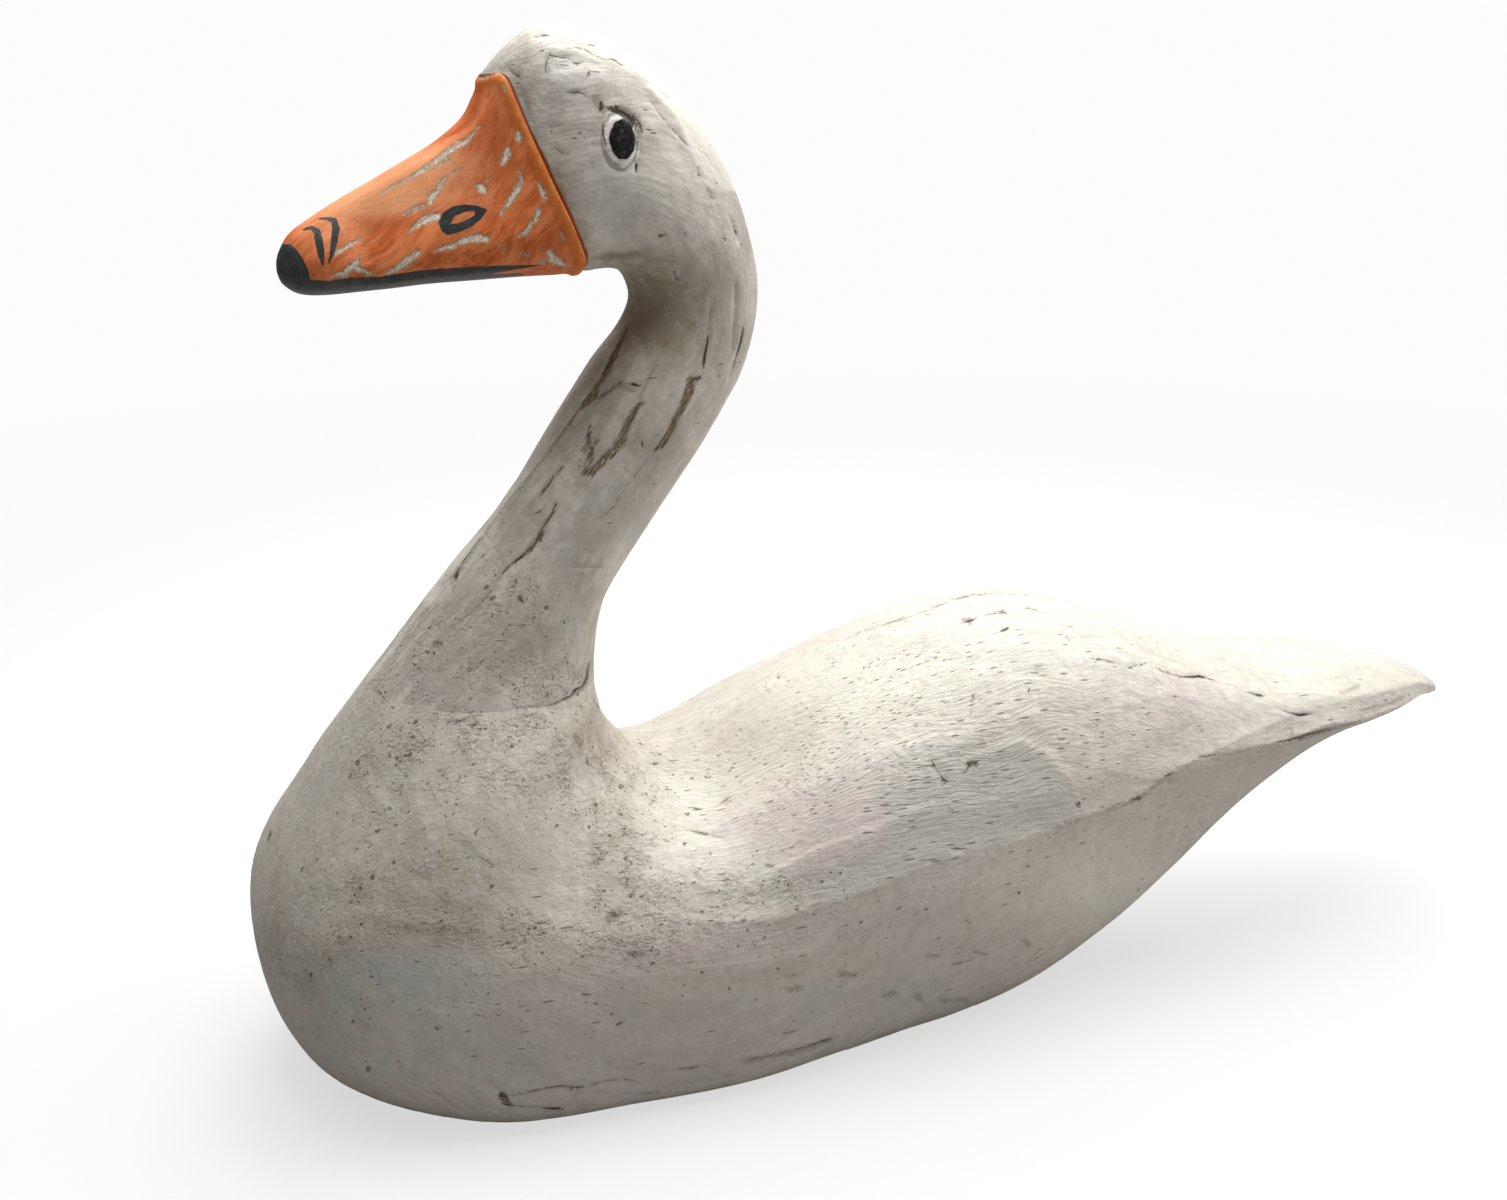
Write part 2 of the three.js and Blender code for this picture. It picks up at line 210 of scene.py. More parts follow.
# The neck's ribs run from above the joint to the face, with the inner edge on the throat.
# Places are shares of NECK_RISE from the middle of the joint, widths of half HEAD_WIDTH.
NECK_RIBS = [
    [-.108, .097, .186, .045, 1.05, "neck"],
    [-.042, .178, .195, .098, .95, "neck"],
    [.023, .25, .215, .143, .87, "neck"],
    [.108, .366, .29, .248, .82, "neck"],
    [.194, .49, .379, .37, .79, "neck"],
    [.241, .545, .441, .478, .77, "neck"],
    [.26, .583, .463, .589, .79, "throat"],
    [.258, .611, .449, .689, .84, "throat"],
    [.246, .633, .406, .8, .92, "head"],
    [.226, .641, .331, .906, .98, "head"],
    [.204, .641, .215, .991, 1, "head"],
    [.188, .641, .119, 1.003, .97, "brow"],
    [.172, .641, .046, .942, .91, "face"],
]

# The bill's ribs run from just before the rim to the nail, in the same shares.
BILL_RIBS = [
    [.155, .638, .026, .904, .905, "face"],
    [.132, .637, .006, .871, .86, "face"],
    [.075, .637, -.036, .838, .765, "bill"],
    [.01, .635, -.079, .814, .685, "bill"],
    [-.06, .633, -.125, .789, .61, "bill"],
    [-.13, .628, -.175, .763, .54, "bill"],
    [-.2, .622, -.221, .736, .47, "nail"],
    [-.243, .625, -.253, .714, .37, "nail"],
    [-.267, .64, -.269, .69, .21, "nail"],
    [-.274, .656, -.274, .676, .08, "nail"],
]


def rows_of(ribs, to_x, to_z, half_width):
    """One row a rib: both edges in millimetres, the half width, then the section's arrises."""
    return np.array([
        [to_x(a), to_z(b), to_x(c), to_z(d), half * half_width, *np.ravel([INNER_EDGE, *SECTIONS[section]])]
        for a, b, c, d, half, section in ribs
    ])


def spline(rows, places):
    """The rows at places counted in ribs, on a uniform Catmull-Rom curve through them."""
    last = len(rows) - 1
    start = np.minimum(np.floor(places).astype(int), last - 1)
    w = (places - start)[:, None]
    a, b, c, d = (rows[np.clip(start + step, 0, last)] for step in (-1, 0, 1, 2))
    tangent_in = (c - a) / 2
    tangent_out = (d - b) / 2
    cubic = 2 * b - 2 * c + tangent_in + tangent_out
    square = 3 * c - 3 * b - 2 * tangent_in - tangent_out
    return ((cubic * w + square) * w + tangent_in) * w + b


def evenly(rows, count):
    """Places along the rows, spaced so that the slices lie equally far apart two thirds of the
    way from the inner to the outer edge."""
    trial = np.linspace(0, len(rows) - 1, TRIALS_PER_RIB * len(rows))
    curve = spline(rows, trial)
    path = (curve[:, 0:2] + 2 * curve[:, 2:4]) / 3
    travelled = np.concatenate([[0], np.cumsum(np.linalg.norm(np.diff(path, axis=0), axis=1))])
    return np.interp(np.linspace(0, travelled[-1], count), travelled, trial)


def bezier(start, corner, end, turn):
    """A quadratic curve: (1 - t)^2 start + 2 t (1 - t) corner + t^2 end."""
    return (1 - turn) ** 2 * start + 2 * turn * (1 - turn) * corner + turn ** 2 * end


def slices(rows, flat_points):
    """A grid of points: each row's outline, its corners rounded by quadratic curves, stretched
    so that its depth spans the row's two edges and its reach the half width, and planed off
    at the floor."""
    arrises = rows[:, 5:].reshape(len(rows), -1, 3)
    mirrored = arrises[:, -2:0:-1] * [1, -1, 1]
    corners = np.concatenate([arrises, mirrored], 1)[:, :, None]
    here, rounding = corners[..., :2], corners[..., 2:]
    after, next_rounding = np.roll(here, -1, 1), np.roll(rounding, -1, 1)
    before, beyond = np.roll(here, 1, 1), np.roll(here, -2, 1)
    flat = np.repeat(np.arange(len(flat_points)), flat_points)
    along = np.concatenate([np.arange(count) / count for count in flat_points])[:, None]
    here, after, before, beyond, rounding, next_rounding = (
        values[:, flat, 0] for values in (here, after, before, beyond, rounding, next_rounding))
    first = bezier(here + (before - here) * rounding, here,
                   here + (after - here) * rounding, 0.5 + 0.5 * along / rounding)
    second = bezier(after + (here - after) * next_rounding, after,
                    after + (beyond - after) * next_rounding,
                    0.5 * (1 - (1 - along) / next_rounding))
    straight = here + (after - here) * along
    points = np.where(along < rounding, first,
                      np.where(along > 1 - next_rounding, second, straight))
    depth, reach = points[..., 0], points[..., 1]
    low, high = depth.min(1, keepdims=True), depth.max(1, keepdims=True)
    depth = ((depth - low) / (high - low))[..., None]
    edge = rows[:, None, 0:2] * (1 - depth) + rows[:, None, 2:4] * depth
    y = rows[:, 4:5] * reach / reach.max(1, keepdims=True)
    return np.stack([edge[..., 0], y, np.maximum(edge[..., 1], 0)], -1), depth[..., 0]


body_rows = rows_of(BODY_RIBS, lambda s: (s - 0.5) * LENGTH, lambda s: s * BACK_HEIGHT, BODY_WIDTH / 2)
joint = body_rows[-1]
joint_middle = (joint[0:2] + joint[2:4]) / 2


def rows_on_neck(ribs):
    """The rows of the neck's and the bill's ribs, whose places start from the joint's middle."""
    return rows_of(ribs, lambda s: joint_middle[0] + s * NECK_RISE,
                   lambda s: joint_middle[1] + s * NECK_RISE, HEAD_WIDTH / 2)


def rim_row(row):
    """The face's last slice carried forward by half the rim's step, and grown by the step."""
    grown = row.copy()
    across = (row[2:4] - row[0:2]) / np.linalg.norm(row[2:4] - row[0:2])
    ahead = np.array([-across[1], across[0]])
    grown[0:2] += (ahead - across) * RIM_STEP / 2
    grown[2:4] += ahead * RIM_STEP / 2
    grown[4] += RIM_STEP
    return grown


def way_along(grid):
    """The way travelled from row to row, for each point of the slices."""
    return np.cumsum(np.linalg.norm(np.diff(grid, axis=0, prepend=grid[:1]), axis=-1), axis=0)


def bow_rim(grid, depth):
    """Slides the skin near the rim back along the swan, most of all up the forehead's sides,
    and a little forward at the corner of the mouth and across the forehead's middle, so that
    the rim runs in a bow and crosses the forehead level."""
    row = np.arange(len(grid))
    rows_apart = 10
    way = grid[np.maximum(row - rows_apart, 0)] - grid[np.minimum(row + rows_apart, len(grid) - 1)]
    way /= np.linalg.norm(way, axis=-1, keepdims=True)
    along = way_along(grid)
    near_rim = smooth(1 - np.abs(along - along[NECK_ROWS + STEP_ROWS // 2]) / RIM_BOW_REACH)
    upper_side = np.clip((depth - 0.4) / 0.6, 0, 1) ** 1.5
    mouth_corner = smooth((0.12 - depth) / 0.12)
    forehead = smooth((depth - 0.8) / 0.1)
    middle = 1 - smooth(np.abs(grid[..., 1]) / FOREHEAD_HALF_WIDTH)
    back = RIM_BACK + RIM_BOW * upper_side - MOUTH_FORWARD * mouth_corner
    back = back * (1 - middle) - FOREHEAD_FORWARD * middle * forehead
    return grid + way * (back * near_rim)[..., None]


def onto_frame(grid):
    """Slides and stretches slices along X, so that the body spans the frame's box."""
    grid[..., 0] = low_x + (grid[..., 0] - body_low) * (high_x - low_x) / (body_high - body_low)
    return grid


low_x, high_x = cad_box[0].x / METRES, cad_box[1].x / METRES
body_x = slices(spline(body_rows, evenly(body_rows, BODY_ROWS)), FLAT_POINTS["body"])[0][..., 0]
body_low, body_high = body_x.min(), body_x.max()
foot_row = joint.copy()
foot_row[0:4] = joint[[2, 3, 0, 1]]
neck_rows = np.vstack([foot_row, rows_on_neck(NECK_RIBS)])
bill_rows = np.vstack([rim_row(neck_rows[-1]), rows_on_neck(BILL_RIBS)])


def smooth(value):
    """0 below 0, 1 above 1, and 3 v^2 - 2 v^3 between."""
    v = np.clip(value, 0, 1)
    return v * v * (3 - 2 * v)


# Large odd numbers that make a corner's place and the seed into a number without order
SCATTER = (73856093, 19349663, 83492791, 26544357)
STIR_FACTOR = 1103515245
STIR_STEP = 12345
LARGEST_NUMBER = 32767


def noise(points, size, seed):
    """Smooth noise from -1 to 1: a random value at each corner of a cubic lattice of the given
    cell sizes, blended between the eight corners by a smooth step."""
    place = points / np.asarray(size, float)
    base = np.floor(place).astype(np.int64)
    share = smooth(place - base)
    total = np.zeros(points.shape[:-1])
    for corner in np.ndindex(2, 2, 2):
        x, y, z = np.moveaxis(base + corner, -1, 0)
        number = (x * SCATTER[0]) ^ (y * SCATTER[1]) ^ (z * SCATTER[2]) ^ (seed * SCATTER[3])
        number = (number ^ (number >> 11)) * STIR_FACTOR + STIR_STEP
        value = ((number >> 16) & LARGEST_NUMBER) / (LARGEST_NUMBER / 2) - 1
        total += value * np.prod(np.where(corner, share, 1 - share), -1)
    return total


def outward(grid):
    """Unit normals of a tube-like grid: the cross product of its two directions."""
    across = np.roll(grid, -1, 1) - np.roll(grid, 1, 1)
    normal = np.cross(np.gradient(grid, axis=0), across)
    normal /= np.maximum(np.linalg.norm(normal, axis=-1, keepdims=True), 1e-9)
    return normal * np.sign(np.sum(normal * (grid - grid.mean(1, keepdims=True))))


def in_picture(points):
    """Where the camera sees the points, in pixels right and down from the upper left corner."""
    seen = points - CAMERA_PLACE
    depth = -(seen @ BACKWARDS)
    right = PICTURE[0] / 2 + FOCAL_PIXELS * (seen @ RIGHTWARDS) / depth
    down = PICTURE[1] / 2 - FOCAL_PIXELS * (seen @ UPWARDS) / depth
    return np.stack([right, down], -1)


def faces_camera(points, normal):
    """True where the surface is turned to the camera."""
    seen = CAMERA_PLACE - points
    return np.sum(seen * normal, -1) > 0


# In pixels: farther away than any mark is told, how far round a small mark its middle is told,
# and the width in which a coat of paint ends
FAR_AWAY = 60
MARK_REACH = 14
COAT_EDGE = 9


def nearest(spots, strokes):
    """For each spot: how far it is from the nearest broken line of (x, y, half width) points,
    less the half width there, then the same distance with the sign of its side, the half
    width, and the way from the line's nearest point. All in pixels."""
    inside = np.full(spots.shape[:-1], float(FAR_AWAY))
    offset = inside.copy()
    width = np.ones_like(inside)
    way = np.full(spots.shape, float(FAR_AWAY))
    for stroke in strokes:
        ends = zip(stroke, stroke[1:]) if len(stroke) > 1 else [(stroke[0], stroke[0])]
        for (x0, y0, w0), (x1, y1, w1) in ends:
            step = np.array([x1 - x0, y1 - y0], float)
            t = np.clip((spots - (x0, y0)) @ step / max(step @ step, 1e-6), 0, 1)
            away = spots - (x0, y0) - t[..., None] * step
            distance = np.hypot(away[..., 0], away[..., 1])
            half = w0 + (w1 - w0) * t
            side = np.where(step[0] * away[..., 1] - step[1] * away[..., 0] < 0, -1, 1)
            closer = distance - half < inside
            inside = np.where(closer, distance - half, inside)
            offset = np.where(closer, side * distance, offset)
            width = np.where(closer, half, width)
            way = np.where(closer[..., None], away, way)
    return inside, offset, width, way


def small_marks(spots, strokes):
    """The way from the nearest mark's middle and its half width, in millimetres: the way is
    even from point to point, so a mark smaller than the mesh still shows. Out of reach the
    half width is far below 0."""
    inside, _, width, way = nearest(spots, strokes)
    width = np.where(inside < MARK_REACH, width, -FAR_AWAY)
    return np.concatenate([way, width[..., None]], -1) * MM_PER_PIXEL


def in_outline(spots, outline):
    """Signed distance in pixels to a closed outline of (x, y) points, less than 0 inside: the
    nearest side's distance, with its sign from how often a line to the right crosses it."""
    distance = np.full(spots.shape[:-1], float(FAR_AWAY))
    crossed = np.zeros(spots.shape[:-1], bool)
    for (x0, y0), (x1, y1) in zip(outline, outline[1:] + outline[:1]):
        step = np.array([x1 - x0, y1 - y0], float)
        t = np.clip((spots - (x0, y0)) @ step / (step @ step), 0, 1)
        away = spots - (x0, y0) - t[..., None] * step
        distance = np.minimum(distance, np.hypot(away[..., 0], away[..., 1]))
        x, y = spots[..., 0], spots[..., 1]
        between = (y0 > y) != (y1 > y)
        slope = (x1 - x0) / (y1 - y0 if y1 != y0 else 1e-9)
        crossed ^= between & (x < x0 + (y - y0) * slope)
    return np.where(crossed, -distance, distance)


def zones(spots, blobs):
    """The sum of soft ovals of (x, y, half width, half height, strength)."""
    total = np.zeros(spots.shape[:-1])
    for x, y, half_width, half_height, strength in blobs:
        square = ((spots[..., 0] - x) / half_width) ** 2 + ((spots[..., 1] - y) / half_height) ** 2
        total += strength * np.exp(-square)
    return total


# Strokes as (x, y, half width) points in the picture, from here to BILL_FLAKES

# Cracks along the glued joint, which both pieces show
JOINT_CRACKS = [
    [(545, 706, .5), (553, 705, .9), (564, 699, 1), (571, 696, 1), (575, 690, 1.2), (582, 687, 1),
     (587, 679, 1.1), (591, 664, 1)],
    [(371, 680, .4), (380, 694, .9), (392, 708, .8), (398, 711, .4)],
]
# Dark, thin cracks and scratches
BODY_CRACKS = [
    [(841, 640, .4), (867, 628, .7), (900, 618, .7), (930, 607, .8), (948, 600, .8), (970, 594, .9),
     (1000, 592, .7), (1037, 594, .6), (1059, 597, .3)],
    [(944, 625, .3), (959, 621, .8), (972, 619, 1.1), (976, 617, .5)],
    [(983, 614, .6), (993, 612, .8), (1004, 611, 1), (1007, 613, .5)],
    [(1022, 607, .5), (1032, 607, .9), (1040, 610, .6)],
    [(996, 632, .6), (1006, 628, 1.4), (1012, 625, .5)],
    [(1094, 658, .8), (1103, 659, 1), (1118, 662, .7), (1121, 664, .4)], [(1130, 667, .6), (1143, 664, .9)],
    [(1159, 668, .8), (1169, 672, 1), (1181, 676, .8), (1194, 676, 1.2), (1200, 675, 1.5), (1207, 677, .9),
     (1216, 680, .5)],
    [(1250, 691, .6), (1261, 694, 1.3), (1267, 694, .6)],
    [(1278, 707, .4), (1291, 713, .6), (1300, 715, 1.4), (1312, 714, .8)],
    [(684, 828, .5), (704, 832, .9), (726, 836, .5)], [(691, 806, .8), (699, 808, .9)],
    [(718, 805, .4), (728, 797, .9)], [(955, 849, 1), (965, 850, .6)], [(921, 861, .7), (934, 861, .7)],
    [(934, 764, 1.1), (940, 772, .5), (946, 781, 1.2), (951, 781, .6)], [(964, 775, .5), (972, 763, 1)],
    [(973, 697, 1), (970, 715, .3)], [(1062, 626, .4), (1070, 640, .6)],
    [(1019, 674, .5), (1034, 672, .9), (1043, 673, .5)],
    [(743, 1062, .4), (767, 1058, .7), (785, 1054, .6), (807, 1049, .7), (826, 1042, 1.1), (837, 1039, .4)],
    [(768, 1037, .4), (793, 1034, .7), (802, 1031, .4)],
    [(674, 1070, .5), (693, 1069, 1.1), (700, 1067, .5)], [(600, 1083, .5), (622, 1080, .8)],
    [(626, 1096, .4), (656, 1094, .7)], [(952, 966, .5), (962, 964, 1), (972, 962, .4)],
    [(425, 1092, .5), (436, 1094, .7), (458, 1109, .3)], [(486, 1081, .4), (499, 1090, .7), (503, 1097, 1)],
    [(510, 1107, .8), (530, 1108, .6), (547, 1110, 1), (559, 1110, 1.3), (563, 1111, .5)],
    [(506, 1097, .6), (520, 1095, .6), (536, 1091, .9), (558, 1087, 1), (581, 1089, 1), (596, 1085, .7),
     (612, 1082, .5), (628, 1081, .7), (640, 1083, .4)],
    [(568, 1087, .5), (576, 1099, .4)], [(503, 1064, .4), (520, 1066, .5), (536, 1065, .5)],
    [(597, 702, .8), (604, 710, 1.2)], [(481, 979, .5), (486, 974, .7)],
    [(468, 1020, .5), (476, 1016, .8), (484, 1018, .6)], [(590, 866, .4), (604, 858, .8), (615, 848, .4)],
    [(480, 857, .4), (492, 864, .8), (501, 872, .4)],
] + JOINT_CRACKS
# Small holes and blots in the paint
BODY_BLOTS = [
    [(878, 658, 1.3)], [(864, 667, 1.5)], [(778, 676, 1.5)], [(859, 678, 1.2)], [(1081, 805, 3)],
    [(1132, 801, .8), (1141, 799, 2.4)], [(1165, 777, .4), (1171, 775, 1.1)],
    [(1199, 757, .5), (1206, 756, 1.1), (1220, 754, .4)], [(685, 842, 2)], [(711, 852, 1.4)],
    [(1030, 868, 1.8)], [(1020, 894, 1.4)], [(739, 947, 1.5)], [(779, 970, 1.3)], [(730, 990, 1.4)],
    [(685, 986, 1)], [(512, 746, 1.8)], [(503, 684, 1.3)], [(427, 783, 1.8)],
    [(383, 809, 1), (390, 808, 1.5)], [(336, 813, 1.4)], [(394, 825, 1.8)],
    [(270, 832, 1.6), (267, 841, 1.2)], [(317, 859, 1.2)], [(542, 953, 1.8)],
    [(582, 995, 1), (590, 995, .8)], [(622, 786, 2.2)], [(655, 762, 1.8)], [(367, 1071, 2.6)],
    [(488, 995, 1.2)], [(436, 1008, 1)], [(362, 1053, 1)], [(455, 721, .8), (461, 721, 1)],
    [(1029, 690, 1.8)], [(700, 868, 1)], [(823, 881, 1.6)], [(648, 972, 1.2)], [(935, 888, 1)],
]
# Where the paint is off down to the wood
BODY_BARE_WOOD = [
    [(963, 619, .6), (970, 619, 1.4)], [(1003, 611, 1)], [(934, 764, 1)], [(944, 781, 1.6), (949, 780, 1)],
    [(970, 764, 2.2), (977, 763, 2)], [(965, 772, .8)],
    [(503, 1096, 3.4), (505, 1101, 2.6), (509, 1106, 2.8)],
    [(1280, 743, .6), (1290, 741, 1.1), (1302, 738, 1.3), (1312, 735, .9), (1328, 730, .5)],
]
# Thin brown smears
BODY_SMUDGES = [
    [(1066, 823, 1), (1078, 820, 2.2), (1096, 816, 1)], [(448, 721, 1.5), (466, 720, 1.5)],
    [(788, 991, 2.5), (802, 988, 2.5)], [(884, 997, 2), (896, 994, 2.5)], [(919, 998, 3), (926, 1007, .8)],
    [(943, 1002, 1.5), (966, 1000, 1.5)], [(1026, 942, 2), (1030, 946, 2.5)],
    [(1342, 692, 1.5), (1358, 686, 2.5)], [(1291, 713, .3), (1294, 736, .5)],
    [(1361, 710, 1), (1390, 703, 1.5), (1404, 697, 2)],
    [(1215, 756, 1.5), (1240, 752, 1), (1262, 748, 1), (1278, 744, 2), (1300, 738, 3), (1330, 730, 1.5),
     (1366, 719, 1), (1406, 705, 1), (1434, 693, 1.5)],
    [(1060, 828, 1), (1100, 814, 1.2), (1140, 800, 2), (1171, 775, 1.6), (1203, 757, 1.4)],
    [(745, 1063, 2), (800, 1052, 2), (832, 1042, 2)], [(610, 917, 5), (620, 912, 5)],
    [(575, 735, 3), (580, 742, 3)], [(573, 683, 2)], [(930, 957, 2), (942, 956, 1)],
    [(975, 952, 2), (985, 955, 2)], [(840, 974, 2), (856, 976, 2)], [(785, 977, 1), (796, 976, 1.5)],
    [(630, 955, 3), (642, 953, 3)],
]

# The same marks on the head and neck
NECK_CRACKS = [
    [(712, 301, .5), (709, 326, .5), (708, 342, 1.2), (705, 358, 1.6), (704, 371, .7)],
    [(745, 328, 1), (742, 345, 1.2), (736, 364, .9), (731, 378, .5)],
    [(736, 286, .3), (735, 320, .5), (733, 350, .3)],
    [(578, 408, .7), (553, 440, 1.1), (537, 458, .9), (519, 483, .7), (503, 501, .7), (481, 529, .9),
     (459, 561, 1.2), (456, 569, 1.4), (449, 590, .5)],
    [(520, 556, 1.3), (508, 565, .9), (494, 582, .8), (486, 596, .6), (470, 612, .4), (456, 623, .5),
     (448, 630, .4)],
    [(631, 384, 1), (636, 385, 1.8)],
    [(656, 451, .6), (647, 461, .4), (638, 473, .6), (625, 489, .4), (613, 509, .6), (600, 520, .3)],
    [(548, 500, .5), (538, 512, .7), (525, 517, .4)], [(575, 568, .4), (600, 568, .4)],
    [(549, 54, .6), (546, 59, 1), (545.2, 68, .9), (546, 76, .4)],
    [(549, 55, 1), (556, 56, 1), (568, 57.4, .9), (573.4, 62, .9), (577.7, 63.4, 1.5), (580, 62, .6)],
    [(551, 63, .5), (562, 64.5, .7), (572, 64, .5)], [(553, 68, .4), (562, 69, .6), (570, 68, .4)],
    [(568, 92.2, .6), (573.4, 93.2, .8), (579.3, 91.6, .9), (584.2, 95, .5)],
    [(589, 73.7, 1), (587, 77, .5), (584, 81, .8)], [(536, 35.2, .7), (542, 34, 1.1), (549, 33.6, .5)],
    [(577.7, 45.8, .7), (586.4, 48.7, .9), (597.2, 54.7, .6), (604, 58.5, .4), (614.6, 57.4, 1),
     (620, 61.8, 1), (634, 70, .7), (648, 80.7, .7), (660, 88, .3), (670, 94, .6), (673, 97, .3)],
    [(655.3, 102.4, .5), (660, 110, .5), (668.8, 122, .7), (675.3, 129.5, .6), (686, 141.5, .8),
     (694, 149, .4)],
    [(556, 149, .5), (561, 154, .8)], [(733, 220, .5), (737, 232, 1), (739, 240, .5)],
    [(636, 163, 1), (636, 171, .5)], [(700, 178, .4), (699, 170, .6)],
    [(507, 66, .5), (512, 73, .8), (520, 78, .5)],
] + JOINT_CRACKS
NECK_BLOTS = [
    [(520, 598, 2.6), (523, 602, 1.6)], [(547, 608, 2.3)], [(565, 622, 1.3)], [(516, 581, 1.7)],
    [(580, 133, 1.6)], [(551, 131, .9)], [(582, 171, 1)], [(660, 236, 1.6), (665, 235, 1.2)],
    [(686, 234, 1.4)], [(725, 239, 1.6)], [(674, 273, 1.3)], [(676, 279, 1.6)], [(541, 540, 1)],
    [(642, 443, 1.3), (643, 447, 1)], [(503, 685, 1.3)], [(525, 683, 1)], [(434, 641, 2), (440, 643, 2)],
    [(427, 652, 1.6)], [(534, 618, 1)], [(510, 625, 1)], [(634, 384, 1.5)], [(513, 587, 1)],
    [(482, 600, .9)], [(507, 613, 1)],
]
NECK_BARE_WOOD = [
    [(700, 379, 1.5), (692, 380, 3.6), (689, 395, 3.2), (683, 408, 2.2), (675, 420, 2), (670, 433, 2.6),
     (662, 445, 2.8), (656, 451, .8)],
    [(645, 404, .8), (639, 405, 2), (633, 414, 2.2), (626, 427, 3.2), (622, 442, 3), (612, 454, 3.2),
     (600, 464, 3.2), (590, 475, 2.8)],
    [(589, 426, .5), (587, 440, 1.8), (590, 450, 2.4), (590, 461, 1.4), (582, 475, .6)],
    [(582, 451, 1), (598, 440, .8)],
    [(627, 328, .6), (616, 348, 1.4), (606, 367, 1.6), (596, 382, 2.4), (589, 397, 3.4), (579, 407, 1)],
    [(593, 398, .8), (604, 392, .8), (619, 383, .9)], [(561, 467, .8), (550, 479, 1.4), (538, 498, .8)],
    [(556, 504, 1), (547, 520, 1.8), (538, 538, 2), (530, 548, 1.8), (520, 556, 1.4)],
    [(637, 135, .8), (637, 150, .8)], [(456, 567, 1.4), (448, 577, .8)],
]
NECK_SMUDGES = [
    [(596, 97, 4), (602, 110, 4)],
    [(611, 107, 1), (619, 106, 2.5), (628, 110, 3), (638, 116, 2.5), (641, 124, 2), (641.5, 131, 1)],
    [(520, 600, 2)], [(433, 644, 3)], [(556, 170, 2), (563, 195, 3), (572, 225, 3), (579, 245, 3)],
    [(596, 259, 2), (618, 257, 3), (640, 254, 2)], [(640, 404, 2), (628, 430, 3), (596, 468, 3)],
    [(692, 384, 4), (672, 430, 3)],
    [(610, 355, 1), (597, 382, 1.6), (579, 404, 1.6), (554, 442, 1.5), (507, 498, 1.4), (480, 538, 1.4),
     (458, 570, 1.8), (440, 583, 1.2)],
    [(668, 340, .5), (652, 372, 1), (640, 400, .5)], [(602, 395, 1), (620, 384, 2), (634, 386, 2)],
    [(516, 74, 2), (523, 92, 2), (530, 112, 2)], [(708, 188, 2), (713, 196, 3)],
    [(620, 385, 3), (634, 390, 3)], [(500, 69, 2), (508, 68, 2.5)], [(575, 92, 3)], [(584, 450, 3)],
    [(610, 360, 3), (592, 392, 4)],
]
# Dark brown round the eye: dirt left in the cuts, and painted shade in the grooves
LASHES = [
    [(608, 108.6, .8), (614, 110, 2), (620, 111.5, 3), (626, 116, 3.8), (630, 120.5, 3.8),
     (632.5, 125.5, 2)],
    [(633.4, 115.5, 1), (633.8, 119, .6)], [(601, 102, 1.4), (601.2, 105, 2.2), (600.4, 110, 1)],
    [(636.8, 165, 1.1), (636.8, 172, .7)], [(634.3, 134, .8), (635, 139, 1.2), (634.6, 147, .5)],
    [(615, 163.8, 1), (620, 165, .5)], [(603.2, 122, .3), (603.4, 134, .9), (606, 147, .4)],
    [(635, 116, .6), (640, 124, 1), (642, 132, .6)], [(606, 107, .6), (611, 107, .9), (619, 105.5, .6)],
]
# Flakes of the orange paint that lay the pale ground bare
BILL_FLAKES = [
    [(479, 126, .6), (473, 133, 1), (467, 141, 2.6), (459, 144, 3.2), (450, 150, 3), (441, 157, 2.8),
     (432, 164, 2.6), (421, 171, 2), (409, 178, 1.6), (391, 187, .9), (380, 194, .3)],
    [(449, 159, 1.2), (441, 163, .8), (433, 170, .6)], [(460, 169, .5), (453, 173, 1.3), (449, 176, .7)],
    [(446, 178, 1), (442, 181, 2.4), (438, 190, 2.6), (431, 197, 3.6), (430, 202, 2)],
    [(425, 205, 1.4), (414, 209, 2.2), (404, 214, 1.2)],
    [(439, 216, 3.2), (431, 217, 4.4), (424, 220, 4), (416, 226, 2.2), (408, 231, 1)],
    [(480, 187, 4), (483, 190, 3.6)], [(490, 178, .8), (488, 181, .9)], [(518, 134, 3.2), (519, 139, 3.2)],
    [(508, 149, 2.4), (506, 156, 4), (502, 163, 2.4)],
    [(520, 169, .8), (521, 180, 2.6), (517, 189, 3), (511, 199, 3), (506, 206, 2.4), (500, 214, .8)],
    [(538, 183, .8), (542, 191, 2.6), (544, 199, 2.2)],
    [(539, 207, 1.2), (537, 217, 2.4), (532, 224, 2), (525, 233, 2.4), (519, 236, 1)],
    [(487, 239, 3), (477, 238, 4.6), (466, 240, 3.2), (455, 245, 2.2), (444, 248, 2.2), (433, 252, .5)],
    [(361, 238, .8), (351, 244, 2), (341, 250, 2.2), (335, 254, .6)],
    [(418, 252, 2.6), (410, 259, 4), (401, 266, 3.2), (391, 273, 2.2), (386, 276, 1)],
    [(358, 257, 1), (357, 262, 3), (352, 268, 4.4), (344, 274, 3.2), (332, 278, 1.4)],
    [(357, 268, 3), (368, 273, 2.2), (374, 276, .8)],
    [(549, 253, 2.4), (553, 259, 4.4), (560, 264, 3.6), (566, 266, 1.6)], [(545, 262, 1.4), (538, 265, .6)],
    [(482, 78, 1.4), (488, 79, 1.2)], [(503, 85, 1), (505, 92, 1.2)], [(562, 234, 1), (564, 240, .8)],
    [(520, 254, .8), (528, 256, .6)], [(497, 243, .6), (503, 247, .6)],
]
# Painted highlight on the upper bill and along its top edge, where the light falls, as soft
# ovals of (x, y, half width, half height, strength)
BILL_FADED = [
    (350, 200, 60, 24, .7), (430, 165, 60, 24, .8), (500, 84, 22, 34, .3), (392, 198, 40, 16, .8),
    (470, 205, 30, 30, .3), (500, 74, 30, 6, 1), (330, 235, 30, 20, .4),
]
